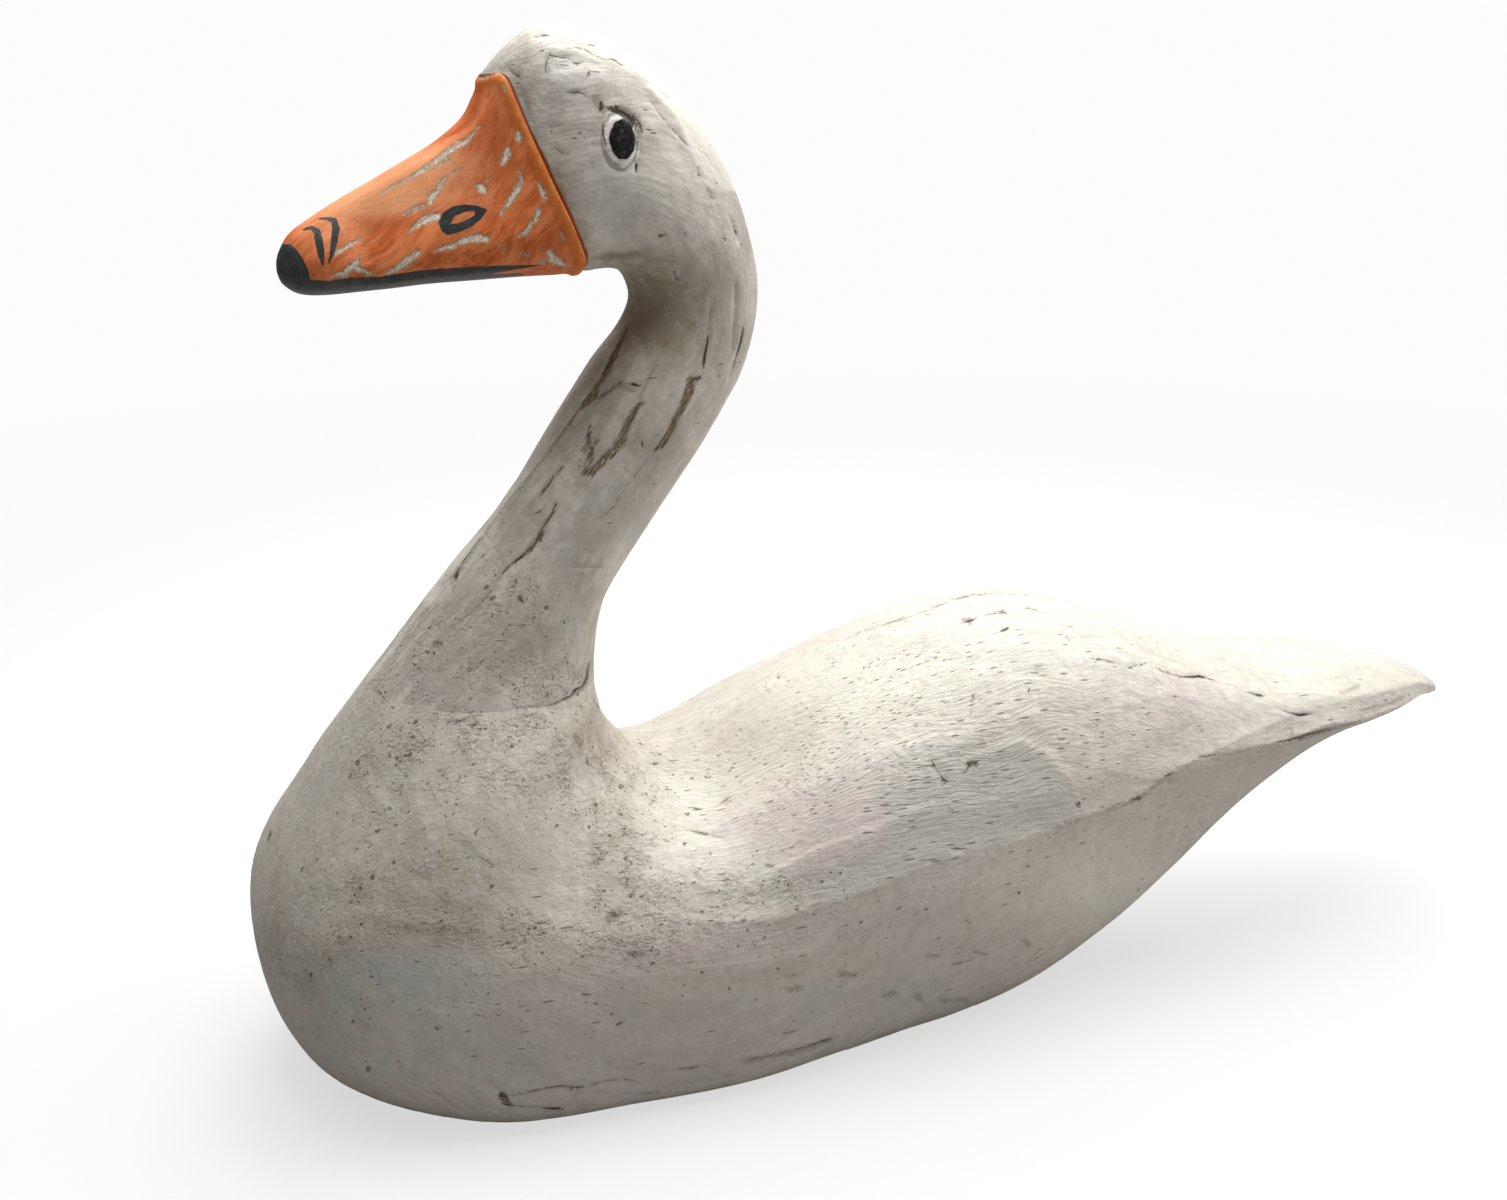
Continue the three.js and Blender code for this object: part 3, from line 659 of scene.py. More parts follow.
# The black paint: the mouth, two bands behind the nail, and the outlines of nail and nostril
MOUTH = [
    (306, 288, 8), (330, 290, 8.5), (352, 286, 8), (382, 284, 7), (402, 281, 7.5), (428, 277, 7),
    (450, 275, 6.5), (478, 272, 5), (505, 269, 3), (528, 267, 1.4), (541, 266, .4),
]
FRONT_BAND = [
    (303, 229, 1), (311, 227, 1.9), (317, 231, 3.4), (319, 242, 4.2), (321, 253, 3.6), (323, 265, 1.2),
]
REAR_BAND = [
    (318, 218, .8), (327, 218, 1.6), (334, 220, 3), (336, 228, 4), (334, 242, 3.4), (332, 253, 2.4),
    (329, 263, 1),
]
NAIL = [(270, 243), (290, 244), (296, 249), (303, 259), (308, 270), (311, 283), (312, 300), (270, 300)]
NOSTRIL = [
    (438, 222), (443, 212), (453, 206), (464, 204), (476, 205), (488, 209), (481, 219), (471, 227),
    (459, 232), (447, 235), (442, 231),
]
NOSTRIL_HOLE = [(450, 223), (455, 216), (464, 212), (474, 210), (475, 215), (467, 219), (458, 223)]

# Soft zones as (x, y, half width, half height, strength): where the paint is thick and pitted,
# where it is darkened by dirt and by painted shade, such as the painted shadow under the head,
# where it is cooler and warmer in tint, and where the body shows the wood's pores
PITTING = [
    (460, 760, 90, 34, 1.1), (560, 770, 60, 60, .8), (620, 850, 36, 70, 1.2), (370, 790, 40, 40, .9),
    (345, 900, 50, 44, .8), (560, 935, 150, 26, 1), (740, 890, 110, 30, 1), (640, 925, 50, 36, .8),
    (430, 725, 90, 34, .8), (300, 960, 60, 50, .6), (650, 780, 50, 60, .6), (480, 1000, 170, 60, .35),
    (440, 865, 60, 40, .45), (860, 930, 90, 30, .3), (440, 655, 90, 50, .9), (520, 600, 34, 44, .6),
    (560, 690, 40, 30, .7), (500, 565, 30, 14, .4),
]
DIRT = [
    (620, 850, 30, 70, .7), (590, 730, 30, 40, .6), (700, 750, 90, 30, .35), (430, 940, 130, 14, .5),
    (560, 965, 60, 22, .4), (320, 960, 50, 60, .35), (740, 905, 90, 22, .4), (460, 740, 130, 50, .35),
    (1150, 780, 60, 12, .3), (380, 860, 90, 60, .45), (470, 880, 90, 60, .66), (380, 765, 60, 40, .2),
    (1240, 750, 50, 14, .5), (1050, 842, 70, 26, .2), (1370, 682, 60, 18, .22), (300, 870, 60, 90, .2),
    (275, 905, 14, 60, .6), (590, 1050, 160, 30, .15), (660, 308, 50, 48, 2.2), (560, 180, 14, 70, .6),
    (620, 256, 50, 9, .6), (495, 635, 80, 50, .5), (615, 120, 32, 30, .4), (605, 445, 76, 60, .8),
    (535, 540, 50, 40, .4), (520, 80, 14, 30, .5), (545, 635, 44, 44, .5), (590, 570, 20, 60, .35),
    (600, 370, 30, 40, .5), (738, 260, 16, 50, .45), (655, 455, 22, 50, .35),
]
COOL = [
    (493, 851, 44, 18, .9), (467, 893, 40, 28, .8), (1000, 810, 60, 30, .6), (1100, 640, 60, 30, .5),
    (420, 970, 120, 30, .7), (700, 860, 50, 16, .6), (900, 870, 50, 16, .6), (1010, 700, 40, 30, .5),
    (1290, 690, 60, 20, .3), (340, 1020, 90, 50, .7), (480, 1070, 160, 30, .6), (860, 1000, 150, 30, .6),
    (1090, 900, 80, 50, .45), (640, 1000, 80, 26, .4), (560, 810, 36, 40, .4), (600, 480, 40, 40, .8),
    (575, 590, 26, 60, 1), (620, 210, 30, 50, .7), (530, 130, 30, 50, .5), (690, 150, 40, 50, .4),
    (545, 690, 30, 30, .5),
]
WARM = [
    (810, 835, 110, 50, .9), (450, 880, 90, 60, .3), (700, 950, 120, 30, 1), (540, 826, 40, 26, .8),
    (450, 802, 26, 26, .7), (428, 850, 20, 24, .6), (860, 920, 90, 16, .8), (1030, 890, 60, 40, .7),
    (1180, 700, 90, 40, .6), (850, 800, 90, 40, .6), (430, 940, 90, 14, .8), (540, 960, 40, 20, .7),
    (600, 730, 40, 40, .4), (1000, 660, 80, 40, .4), (420, 760, 100, 60, .35), (680, 220, 40, 60, .6),
    (640, 330, 60, 60, .5), (480, 620, 60, 60, .5), (600, 195, 30, 30, .7), (520, 500, 60, 60, .4),
    (590, 420, 40, 60, .6),
]
BODY_PORES = [
    (930, 730, 120, 60, 1), (800, 790, 130, 50, .8), (1090, 720, 90, 60, .35), (930, 650, 100, 40, .5),
    (1000, 800, 90, 40, .4), (720, 760, 70, 40, .25), (900, 860, 120, 24, .25),
]
# The facet of the flank below a knife edge, greyed as painted shade, and the ovals in which
# the shade shows
OLDER_COAT = [
    (660, 858), (714, 830), (750, 812), (800, 790), (850, 770), (900, 750), (950, 739), (1024, 741),
    (1048, 756), (1064, 772), (1083, 805), (1092, 822), (1034, 838), (938, 860), (885, 886), (817, 907),
    (783, 917), (720, 922), (640, 905),
]
OLDER_COAT_SHOWS = [(850, 830, 120, 90, 1.1), (1010, 790, 80, 60, 1.2)]
# Painted highlights where the light falls: the cream cap on top of the head and the pale strip
# down the front of the neck
FRESH_COATS = [
    [(530, 44), (560, 46), (583, 51), (600, 55), (620, 62), (645, 79), (664, 100), (680, 122), (694, 150),
     (706, 190), (740, 190), (700, 90), (650, 30), (590, 0), (530, 10)],
    [(632, 318), (614, 352), (600, 380), (582, 404), (557, 440), (510, 498), (483, 538), (461, 568),
     (440, 602), (400, 600), (440, 540), (500, 460), (560, 375), (600, 320)],
]
# Painted shade where the white is darker, and painted highlight where it is lighter, as soft
# zones
DULLER = [
    (810, 815, 70, 30, .4), (600, 205, 60, 40, .7), (1370, 682, 60, 20, .3), (455, 880, 120, 90, .85),
    (300, 890, 50, 90, .6), (385, 765, 90, 50, .45), (655, 455, 30, 60, .5), (540, 640, 60, 50, .4),
    (580, 590, 24, 60, .45),
]
CLEANER = [
    (735, 775, 80, 34, 1.3), (860, 690, 80, 40, .9), (668, 178, 40, 36, 1), (1110, 890, 100, 50, .9),
    (580, 58, 50, 24, .8), (640, 790, 60, 24, .4),
]
# Where the head's paint was touched up in a cleaner white
CROWN_PATCH = [
    (549, 54), (562, 56), (577, 57), (583, 62), (573, 73), (583, 78), (576, 89), (564, 87), (550, 80),
    (545, 68),
]
# The eye: the pupil and the ring as (x, y, half width, half height) of ovals that lean back,
# and the outline of the white between them
PUPIL = (621.8, 139.7, 12.6, 19.3)
EYE_RING = (620, 140.5, 16.2, 26.5)
EYE_LEAN = np.radians(4)
EYE_WHITE = [
    (608, 111), (604, 118), (602, 127), (602, 138), (605, 148), (610, 157), (615, 164), (623, 168.5),
    (631, 168), (637, 163), (640, 153), (640.5, 141), (638, 129), (633, 121.5), (625, 116.5), (616, 112),
]
# The far side has its scars in other places: the near side's, shifted in the picture
FAR_SHIFT = np.array([34, -46])
BILL_FAR_SHIFT = np.array([16, -9])
# Edges between two strokes of the knife, each as the depth of its hollows in millimetres, the
# width in pixels of the hollow to the left and to the right of the way the points go, and
# (x, y, strength) points.
BODY_KNIFE_EDGES = [
    (1.3, 1, 110, [(690, 840, 0), (714, 830, .7), (750, 812, 1), (800, 790, 1), (850, 770, 1),
     (900, 750, 1), (950, 739, .7), (975, 735, 0)]),
    (1.1, 26, 64, [(935, 806, 0), (952, 777, .8), (985, 752, 1), (1024, 741, .9), (1048, 756, .5),
     (1064, 772, .4), (1083, 805, .3), (1092, 822, 0)]),
    (.9, 50, 60, [(640, 905, 0), (680, 916, .8), (720, 922, 1), (783, 917, 1), (817, 907, .9),
     (885, 886, 1), (938, 860, 1), (990, 848, .9), (1034, 838, 1)]),
    (1.2, 50, 60, [(1000, 846, .4), (1034, 838, .8), (1083, 821, 1), (1136, 799, 1), (1170, 776, 1),
     (1205, 756, .9), (1242, 737, .9), (1290, 716, .6), (1320, 708, 0)]),
    (.5, 30, 26, [(950, 770, 0), (965, 745, 1), (968, 715, .8), (973, 690, 0)]),
    (.6, 20, 34, [(600, 876, 0), (640, 858, .8), (700, 846, .8), (760, 842, .4), (800, 836, 0)]),
    (.5, 30, 34, [(300, 905, 0), (337, 914, 1), (386, 918, 1), (440, 925, .6), (520, 930, 0)]),
    (.6, 30, 34, [(430, 800, 0), (470, 838, 1), (510, 880, 1), (552, 932, 0)]),
    (.5, 30, 30, [(420, 770, 0), (440, 800, .8), (460, 830, 0)]),
    (.6, 34, 34, [(345, 760, 0), (380, 800, .8), (400, 850, .8), (395, 900, 0)]),
    (.6, 34, 34, [(640, 790, 0), (600, 830, .9), (575, 880, .7), (570, 920, 0)]),
    (.5, 40, 40, [(1000, 985, 0), (900, 1018, .8), (800, 1046, .8), (700, 1068, 0)]),
    (.5, 40, 40, [(1010, 905, 0), (900, 938, .8), (760, 968, .8), (620, 985, 0)]),
    (.5, 40, 40, [(560, 1000, 0), (480, 1020, .8), (400, 1010, .7), (330, 985, 0)]),
    (.5, 34, 34, [(1180, 690, 0), (1140, 700, .8), (1100, 716, .8), (1060, 730, 0)]),
    (.5, 30, 30, [(1130, 905, 0), (1110, 880, 1), (1095, 850, .7), (1090, 830, 0)]),
    (.5, 24, 30, [(290, 960, 0), (310, 1010, .8), (345, 1060, .8), (390, 1095, 0)]),
]
NECK_KNIFE_EDGES = [
    (.9, 16, 20, [(655, 102, .4), (660, 110, .8), (669, 122, 1), (675, 130, 1), (686, 142, .9),
     (694, 149, .3)]),
    (.8, 20, 26, [(530, 48, 0), (560, 47, .7), (583, 51, 1), (620, 62, 1), (645, 79, 1), (664, 100, 1),
     (680, 122, 1), (694, 150, .6), (704, 180, 0)]),
    (1.4, 14, 26, [(436, 600, .5), (442, 588, .8), (458, 568, 1), (480, 538, 1), (507, 498, 1),
     (554, 440, 1), (579, 405, 1), (597, 381, 1), (610, 354, .8), (626, 326, 0)]),
    (.6, 18, 22, [(672, 440, 0), (690, 400, 1), (703, 368, 1), (708, 330, .8), (712, 290, 0)]),
    (.6, 18, 18, [(590, 480, 0), (622, 446, 1), (638, 408, 1), (650, 380, 0)]),
    (.6, 16, 16, [(500, 590, 0), (530, 548, 1), (547, 520, 1), (560, 500, 0)]),
    (.5, 16, 20, [(600, 520, 0), (640, 470, .8), (668, 425, .6), (690, 390, 0)]),
    (.5, 20, 20, [(640, 62, 0), (668, 98, .8), (690, 140, .8), (706, 190, 0)]),
    (.45, 22, 22, [(530, 210, 0), (560, 150, .7), (575, 110, .7), (590, 92, 0)]),
    (.5, 20, 20, [(650, 262, 0), (620, 258, .8), (596, 262, .6), (580, 268, 0)]),
    (.45, 20, 20, [(660, 232, 0), (690, 210, .8), (706, 180, 0)]),
    (.5, 18, 18, [(400, 660, 0), (430, 622, .8), (450, 596, .6), (470, 572, 0)]),
    (.5, 22, 22, [(560, 660, 0), (572, 610, .8), (590, 560, .8), (620, 510, 0)]),
    (.5, 16, 16, [(740, 300, 0), (738, 350, .8), (722, 395, .8), (690, 440, 0)]),
]


def marks_on(grid, normal, cracks, blots, bare_wood, smudges):
    """The near side's marks as the camera sees them, and on the far side the mirrored marks,
    shifted. Bare wood and smudges are signed distances in millimetres, less than 0 inside the
    mark, cracks and blots also say where the mark lies, and the rest are strengths."""
    mirrored = grid * [1, -1, 1]
    seen = faces_camera(grid, normal)
    seen_mirrored = faces_camera(mirrored, normal * [1, -1, 1]) & (grid[..., 1] > 0)
    spots = np.where(seen[..., None], in_picture(grid), in_picture(mirrored) + FAR_SHIFT)
    hidden = np.where(seen | seen_mirrored, 0, FAR_AWAY)
    inside, offset, width, _ = nearest(spots, cracks)
    crack = np.stack([offset, inside + width + hidden, width], -1)
    fields = {"crack": crack}
    fields["bare_wood"] = nearest(spots, bare_wood)[0] + hidden
    fields["smudge"] = nearest(spots, smudges)[0] + hidden
    fields = {name: field * MM_PER_PIXEL for name, field in fields.items()}
    fields["blot"] = small_marks(spots, blots)
    fields["blot"][..., 2] -= hidden
    fields["pitting"] = zones(spots, PITTING)
    # Painted shade: the flank facet below the knife edge and the darker zones
    shows = np.clip(zones(spots, OLDER_COAT_SHOWS), 0, 1)
    fields["older_coat"] = shows * smooth(0.5 - in_outline(spots, OLDER_COAT) / COAT_EDGE)
    fields["older_coat"] += zones(spots, DULLER)
    # Painted highlight: lighter paint inside these outlines and zones
    fresh = np.min([in_outline(spots, outline) for outline in FRESH_COATS], 0)
    fields["fresh_coat"] = smooth(0.5 - fresh / COAT_EDGE) + zones(spots, CLEANER)
    # Dirt, and painted shade such as the shadow under the head
    fields["dirt"] = zones(spots, DIRT)
    fields["tone"] = zones(spots, WARM) - zones(spots, COOL)
    return fields, spots


def knife_cut(spots, edges):
    """Depth of the hollows on both sides of the knife's edges: 27/4 s (1 - s)^2 of the way s
    from the edge in hollow widths, so that two hollows meet in a sharp arris and come back
    to the form slowly."""
    depth = np.zeros(spots.shape[:-1])
    for deep, left, right, points in edges:
        inside, offset, strength, _ = nearest(spots, [points])
        way = np.clip(np.where(offset > 0, offset / right, -offset / left), 0, 1)
        hollow = deep * strength * 27 / 4 * way * (1 - way) ** 2
        depth = np.hypot(depth, np.where(inside < FAR_AWAY - 1, hollow, 0))
    return depth


def carved_in(fields, depth):
    """How far the surface lies below the paint: a rounded groove along each crack, a shallow
    hollow where the wood is bare, and a shallower one in each blot."""
    reach, half = fields["crack"][..., 1], fields["crack"][..., 2]
    groove = np.exp(-(reach / (half + CRACK_SHOULDER)) ** 2)
    hollow = smooth(0.5 - fields["bare_wood"] / 2)
    blot = fields["blot"]
    pit = smooth(0.5 - (np.hypot(blot[..., 0], blot[..., 1]) - blot[..., 2]) / 2)
    return depth * (groove + hollow + BLOT_SHARE * pit)


def unevenness(grid, height, seed):
    """How far the knife went below the true form: two sizes of noise, longer along the swan
    than across it, between 0 and the height."""
    waves = noise(grid, LONG_WAVES, seed) + 0.45 * noise(grid, SHORT_WAVES, seed + 1)
    return height * (0.5 + 0.35 * waves)


def lumps(grid, amount, seed):
    """Thick, dirty paint: noise of a few millimetres, where the amount says."""
    fine = 0.6 * noise(grid, LUMPS, seed) + 0.4 * noise(grid, SMALL_LUMPS, seed + 1)
    return np.clip(amount, 0, 1) * LUMP_HEIGHT * (fine - 0.4)


def along_the_ribs(grid, depth, rows):
    """Coordinates for brush marks in millimetres: the way travelled along the ribs at middle
    depth, the distance to the side, and the distance from the inner edge."""
    middle = (rows[:, 0:2] + rows[:, 2:4]) / 2
    travelled = np.concatenate([[0], np.cumsum(np.linalg.norm(np.diff(middle, axis=0), axis=1))])
    height = np.linalg.norm(rows[:, 2:4] - rows[:, 0:2], axis=1)[:, None]
    return np.stack([np.broadcast_to(travelled[:, None], depth.shape), grid[..., 1], depth * height], -1)


def oval_ratio(spots, oval):
    """Distance from an oval's centre as a share of its half sizes. The oval leans back."""
    away = spots - oval[:2]
    across = away @ [np.cos(EYE_LEAN), -np.sin(EYE_LEAN)]
    upright = away @ [np.sin(EYE_LEAN), np.cos(EYE_LEAN)]
    return np.hypot(across / oval[2], upright / oval[3])


def skin(rows, around):
    """Quads between the points of a grid that closes on itself around, and the points' numbers."""
    place = np.arange(rows * around).reshape(rows, around)
    turned = np.roll(place, -1, 1)
    return np.stack([place[:-1], turned[:-1], turned[1:], place[1:]], -1).reshape(-1, 4), place, turned


def make_piece(name, grid, fields, node, material):
    """A closed skin over the grid, with a fan over each end, as a piece that stands for its
    solid. Its faces are turned outward, by the sign of its volume, and the edges round both
    ends stay sharp. Every field becomes an attribute of the points."""
    count, around = grid.shape[:2]

    def with_ends(values):
        return np.vstack([values.reshape(count * around, -1), values[0].mean(0), values[-1].mean(0)])

    quads, place, turned = skin(count, around)
    first = np.stack([np.full(around, count * around), turned[0], place[0]], -1)
    last = np.stack([np.full(around, count * around + 1), place[-1], turned[-1]], -1)
    mesh = bpy.data.meshes.new(name)
    mesh.from_pydata((with_ends(grid) * METRES).tolist(), [], quads.tolist() + first.tolist() + last.tolist())
    mesh.polygons.foreach_set("use_smooth", np.ones(len(mesh.polygons), bool))
    centred = grid - grid.mean((0, 1))
    across = np.roll(centred, -1, 1)
    volume = np.sum(centred[:-1] * np.cross(across[:-1], across[1:]))
    volume += np.sum(centred[:-1] * np.cross(across[1:], centred[1:]))
    if volume < 0:
        mesh.flip_normals()
    ends = np.empty(len(mesh.edges) * 2, int)
    mesh.edges.foreach_get("vertices", ends)
    ends = ends.reshape(-1, 2)
    on_rim = (ends < around).all(1) | ((ends >= (count - 1) * around) & (ends < count * around)).all(1)
    sharp = mesh.attributes.new("sharp_edge", "BOOLEAN", "EDGE")
    sharp.data.foreach_set("value", on_rim)
    for label, values in fields.items():
        kind, part = ("FLOAT_VECTOR", "vector") if values.ndim == 3 else ("FLOAT", "value")
        flat = with_ends(values if values.ndim == 3 else values[..., None])
        mesh.attributes.new(label, kind, "POINT").data.foreach_set(part, flat.ravel())
    piece = bpy.data.objects.new(name, mesh)
    bpy.context.scene.collection.objects.link(piece)
    mesh.materials.append(material)
    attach(piece, "root")
    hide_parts(node)


def carve_body(material):
    """The body's fine surface: slices along the ribs, lowered by the knife's waves, the lumps
    of the paint and the cracks."""
    rows = spline(body_rows, evenly(body_rows, BODY_ROWS))
    grid, depth = slices(rows, FLAT_POINTS["body"])
    grid = onto_frame(grid)
    normal = outward(grid)
    fields, spots = marks_on(grid, normal, BODY_CRACKS, BODY_BLOTS, BODY_BARE_WOOD, BODY_SMUDGES)
    fields["pores"] = zones(spots, BODY_PORES)
    fields["along"] = along_the_ribs(grid, depth, rows)
    fields["upward"] = normal[..., 2]
    near_joint = smooth(np.arange(BODY_ROWS, 0, -1) / ROWS_TO_JOINT)[:, None]
    lowered = unevenness(grid, BODY_WAVES, BODY_WAVES_SEED)
    lowered -= lumps(grid, fields["pitting"], BODY_LUMPS_SEED)
    lowered += carved_in(fields, BODY_CUT_DEPTH)
    lowered += knife_cut(spots, BODY_KNIFE_EDGES)
    grid = grid - normal * (np.maximum(lowered, 0) * near_joint)[..., None]
    grid[..., 0] = np.clip(grid[..., 0], low_x, high_x)
    grid[..., 2] = np.maximum(grid[..., 2], 0)
    make_piece("carved_body", grid, fields, "body", material)


def carve_head_and_neck(material):
    """The neck, head and bill: slices along the ribs with the rim's step between face and
    bill, the rim's bead, the domes and grooves of the eyes, the knife's scoops and the cracks."""
    neck = spline(neck_rows, evenly(neck_rows, NECK_ROWS))
    bill = spline(bill_rows, evenly(bill_rows, BILL_ROWS))
    share = smooth(np.linspace(0, 1, STEP_ROWS + 2)[1:-1])[:, None]
    step = neck[-1] * (1 - share) + bill[0] * share
    rows = np.vstack([neck, step, bill])
    grid, depth = slices(rows, FLAT_POINTS["head"])
    grid = bow_rim(onto_frame(grid), depth)
    normal = outward(grid)
    along = way_along(grid)
    from_rim = along - along[NECK_ROWS - 1]
    fields, spots = marks_on(grid, normal, NECK_CRACKS, NECK_BLOTS, NECK_BARE_WOOD, NECK_SMUDGES)
    both_sides = in_picture(np.stack([grid[..., 0], -np.abs(grid[..., 1]), grid[..., 2]], -1))
    fields["from_rim"] = from_rim
    on_cheek = smooth((0.74 - depth) / 0.2) * smooth((depth + 0.03) / 0.1)
    # How far the orange, dark there as painted shade, reaches past the rim
    fields["behind_rim"] = ORANGE_PAST_RIM * on_cheek
    fields["upward"] = normal[..., 2]
    # Painted highlight on the upper bill
    fields["faded"] = zones(both_sides, BILL_FADED)
    fields["along"] = along_the_ribs(grid, depth, rows)
    fields["pupil"] = oval_ratio(both_sides, PUPIL)
    fields["eye_ring"] = oval_ratio(both_sides, EYE_RING)
    outlines = {
        "eye_white": EYE_WHITE, "nostril": NOSTRIL, "nostril_hole": NOSTRIL_HOLE, "crown": CROWN_PATCH,
    }
    for name, outline in outlines.items():
        fields[name] = in_outline(both_sides, outline) * MM_PER_PIXEL
    fields["lash"] = small_marks(both_sides, LASHES)
    fields["black_paint"] = black_paint(both_sides, depth, from_rim)
    far = np.where(grid[..., 1:2] > 0, BILL_FAR_SHIFT, 0)
    fields["flake"] = nearest(both_sides + far, BILL_FLAKES)[0] * MM_PER_PIXEL
    painted_white = from_rim < -2
    carved = carved_in(fields, NECK_CUT_DEPTH) + knife_cut(spots, NECK_KNIFE_EDGES)
    lowered = unevenness(grid, NECK_WAVES, NECK_WAVES_SEED)
    lowered -= lumps(grid, fields["pitting"], NECK_LUMPS_SEED)
    lowered += carved * painted_white
    lowered += eye_hollow(fields["eye_ring"])
    lowered -= BEAD_HEIGHT * np.exp(-((from_rim - BEAD_PLACE) / BEAD_WIDTH) ** 2)
    lowered += FLAKE_DEPTH * smooth(0.4 - fields["flake"])
    near_joint = smooth(np.arange(len(grid)) / ROWS_TO_JOINT)[:, None]
    grid = grid - normal * (lowered * near_joint)[..., None]
    make_piece("carved_head_and_neck", grid, fields, "head_and_neck", material)


def eye_hollow(ratio):
    """Depth below the cheek: a dome that stands out over the ring, with a groove cut round it
    a tenth of the ring's size farther out."""
    dome = np.sqrt(np.clip(1 - ratio ** 2, 0, 1))
    groove = np.exp(-((ratio - 1.1) / 0.1) ** 2)
    return EYE_GROOVE * groove - EYE_RISE * dome


def black_paint(spots, depth, from_rim):
    """Signed distance to the black paint in millimetres: the mouth, the bands and the nail,
    and underneath the bill everything but the part by the rim."""
    drawn = nearest(spots, [MOUTH, FRONT_BAND, REAR_BAND])[0]
    shown = np.minimum(drawn, in_outline(spots, NAIL)) * MM_PER_PIXEL
    underneath = np.clip(BLACK_FROM_RIM - from_rim, -3, 3)
    share = smooth((0.09 - depth) / 0.06)
    value = shown * (1 - share) + underneath * share
    return np.where(from_rim > 3, value, FAR_AWAY)


# Helpers for materials

class Painting:
    """The node tree that is being built: the helpers below add their nodes to it."""
    tree = None


def node(kind, inputs=None, **settings):
    """Adds a node with its settings, and fills its inputs with values or other nodes' outputs."""
    made = Painting.tree.nodes.new(kind)
    for name, value in settings.items():
        setattr(made, name, value)
    for name, value in (inputs or {}).items():
        if isinstance(value, bpy.types.NodeSocket):
            Painting.tree.links.new(value, made.inputs[name])
        else:
            made.inputs[name].default_value = value
    return made


def reckoning(operation, kind="ShaderNodeMath", output=0):
    """A function that adds a node for the operation, and gives the node's output."""
    return lambda *values: node(kind, dict(enumerate(values)), operation=operation).outputs[output]


times, plus, minus = reckoning("MULTIPLY"), reckoning("ADD"), reckoning("SUBTRACT")
times_plus, divided, below = reckoning("MULTIPLY_ADD"), reckoning("DIVIDE"), reckoning("LESS_THAN")
larger, smaller, unsigned = reckoning("MAXIMUM"), reckoning("MINIMUM"), reckoning("ABSOLUTE")
vectors_added = reckoning("ADD", "ShaderNodeVectorMath")
vectors_multiplied = reckoning("MULTIPLY", "ShaderNodeVectorMath")
vectors_divided = reckoning("DIVIDE", "ShaderNodeVectorMath")
vector_length = reckoning("LENGTH", "ShaderNodeVectorMath", "Value")


def fade(value, low, high, low_value=0, high_value=1):
    """Goes from the low value to the high value as the input passes from low to high."""
    limits = {"Value": value, "From Min": low, "From Max": high, "To Min": low_value, "To Max": high_value}
    return node("ShaderNodeMapRange", limits, interpolation_type="SMOOTHSTEP").outputs[0]


def mixed(share, first, second):
    """The first colour where the share is 0, and the second where it is 1."""
    return node("ShaderNodeMix", {0: share, 6: first, 7: second}, data_type="RGBA").outputs[2]


def layered(colour, *layers):
    """Lays tints over the colour, one after the other, each given as its share and the tint."""
    for share, tint in layers:
        colour = mixed(share, colour, tint)
    return colour


def summed(first, *others):
    """The sum of products, each given as its two factors."""
    total = times(*first)
    for value, factor in others:
        total = times_plus(value, factor, total)
    return total


def scaled(vector, factor):
    return node("ShaderNodeVectorMath", {0: vector, "Scale": factor}, operation="SCALE").outputs[0]


def split(vector):
    return node("ShaderNodeSeparateXYZ", {0: vector}).outputs


def stretched(vector, length, width):
    """The vector in units of the length along its first axis and of the width along the others."""
    sizes = node("ShaderNodeCombineXYZ", {"X": length, "Y": width, "Z": width}).outputs[0]
    return vectors_divided(vector, sizes)


def turned_on_side(vector, angle):
    """The vector turned about the second axis, which points across the swan."""
    inputs = {"Vector": vector, "Angle": angle}
    return node("ShaderNodeVectorRotate", inputs, rotation_type="Y_AXIS").outputs[0]


def cloud(vector, scale, detail=2, roughness=0.5, output=0):
    """Noise from 0 to 1, with that many finer layers, each as strong as the roughness says."""
    values = {"Vector": vector, "Scale": scale, "Detail": detail, "Roughness": roughness}
    return node("ShaderNodeTexNoise", values).outputs[output]


def bent(vector, scale, detail, amount):
    """The vector moved about by a noise of the amount."""
    return vectors_added(vector, scaled(cloud(vector, scale, detail, output="Color"), amount))


def scattered(vector, scale, share, smallest, spread, core):
    """1 in soft dots, one to a cell, in the given share of the cells. A dot's half width is the
    smallest plus up to the spread, and the dot is full out to its core, a share of that."""
    cells = node("ShaderNodeTexVoronoi", {"Vector": vector, "Scale": scale}).outputs
    chance, width, _ = split(cells["Color"])
    size = times_plus(width, spread, smallest)
    return times(fade(cells["Distance"], size, times(size, core)), below(chance, share))


def attribute(name, output="Fac"):
    return node("ShaderNodeAttribute", attribute_name=name).outputs[output]


def open_group(name, inputs):
    """Starts a shader node group and gives its inputs. Each has its default: a number for a
    value, a tuple for a colour, and None for a vector."""
    kinds = {tuple: "NodeSocketColor", type(None): "NodeSocketVector"}
    tree = Painting.tree = bpy.data.node_groups.new(name, "ShaderNodeTree")
    for label, default in inputs.items():
        kind = kinds.get(type(default), "NodeSocketFloat")
        socket = tree.interface.new_socket(label, in_out="INPUT", socket_type=kind)
        if default is not None:
            socket.default_value = default
    return tree.nodes.new("NodeGroupInput").outputs


def close_group(**results):
    """Ends the group with an output for each result: Colour is a colour, the others are values."""
    tree = Painting.tree
    for label in results:
        kind = "NodeSocketColor" if label == "Colour" else "NodeSocketFloat"
        tree.interface.new_socket(label, in_out="OUTPUT", socket_type=kind)
    end = tree.nodes.new("NodeGroupOutput").inputs
    for label, value in results.items():
        tree.links.new(value, end[label])
    return tree


def place(group_tree, **inputs):
    """Puts a group into the tree that is being built, and gives its outputs."""
    return node("ShaderNodeGroup", inputs, node_tree=group_tree).outputs
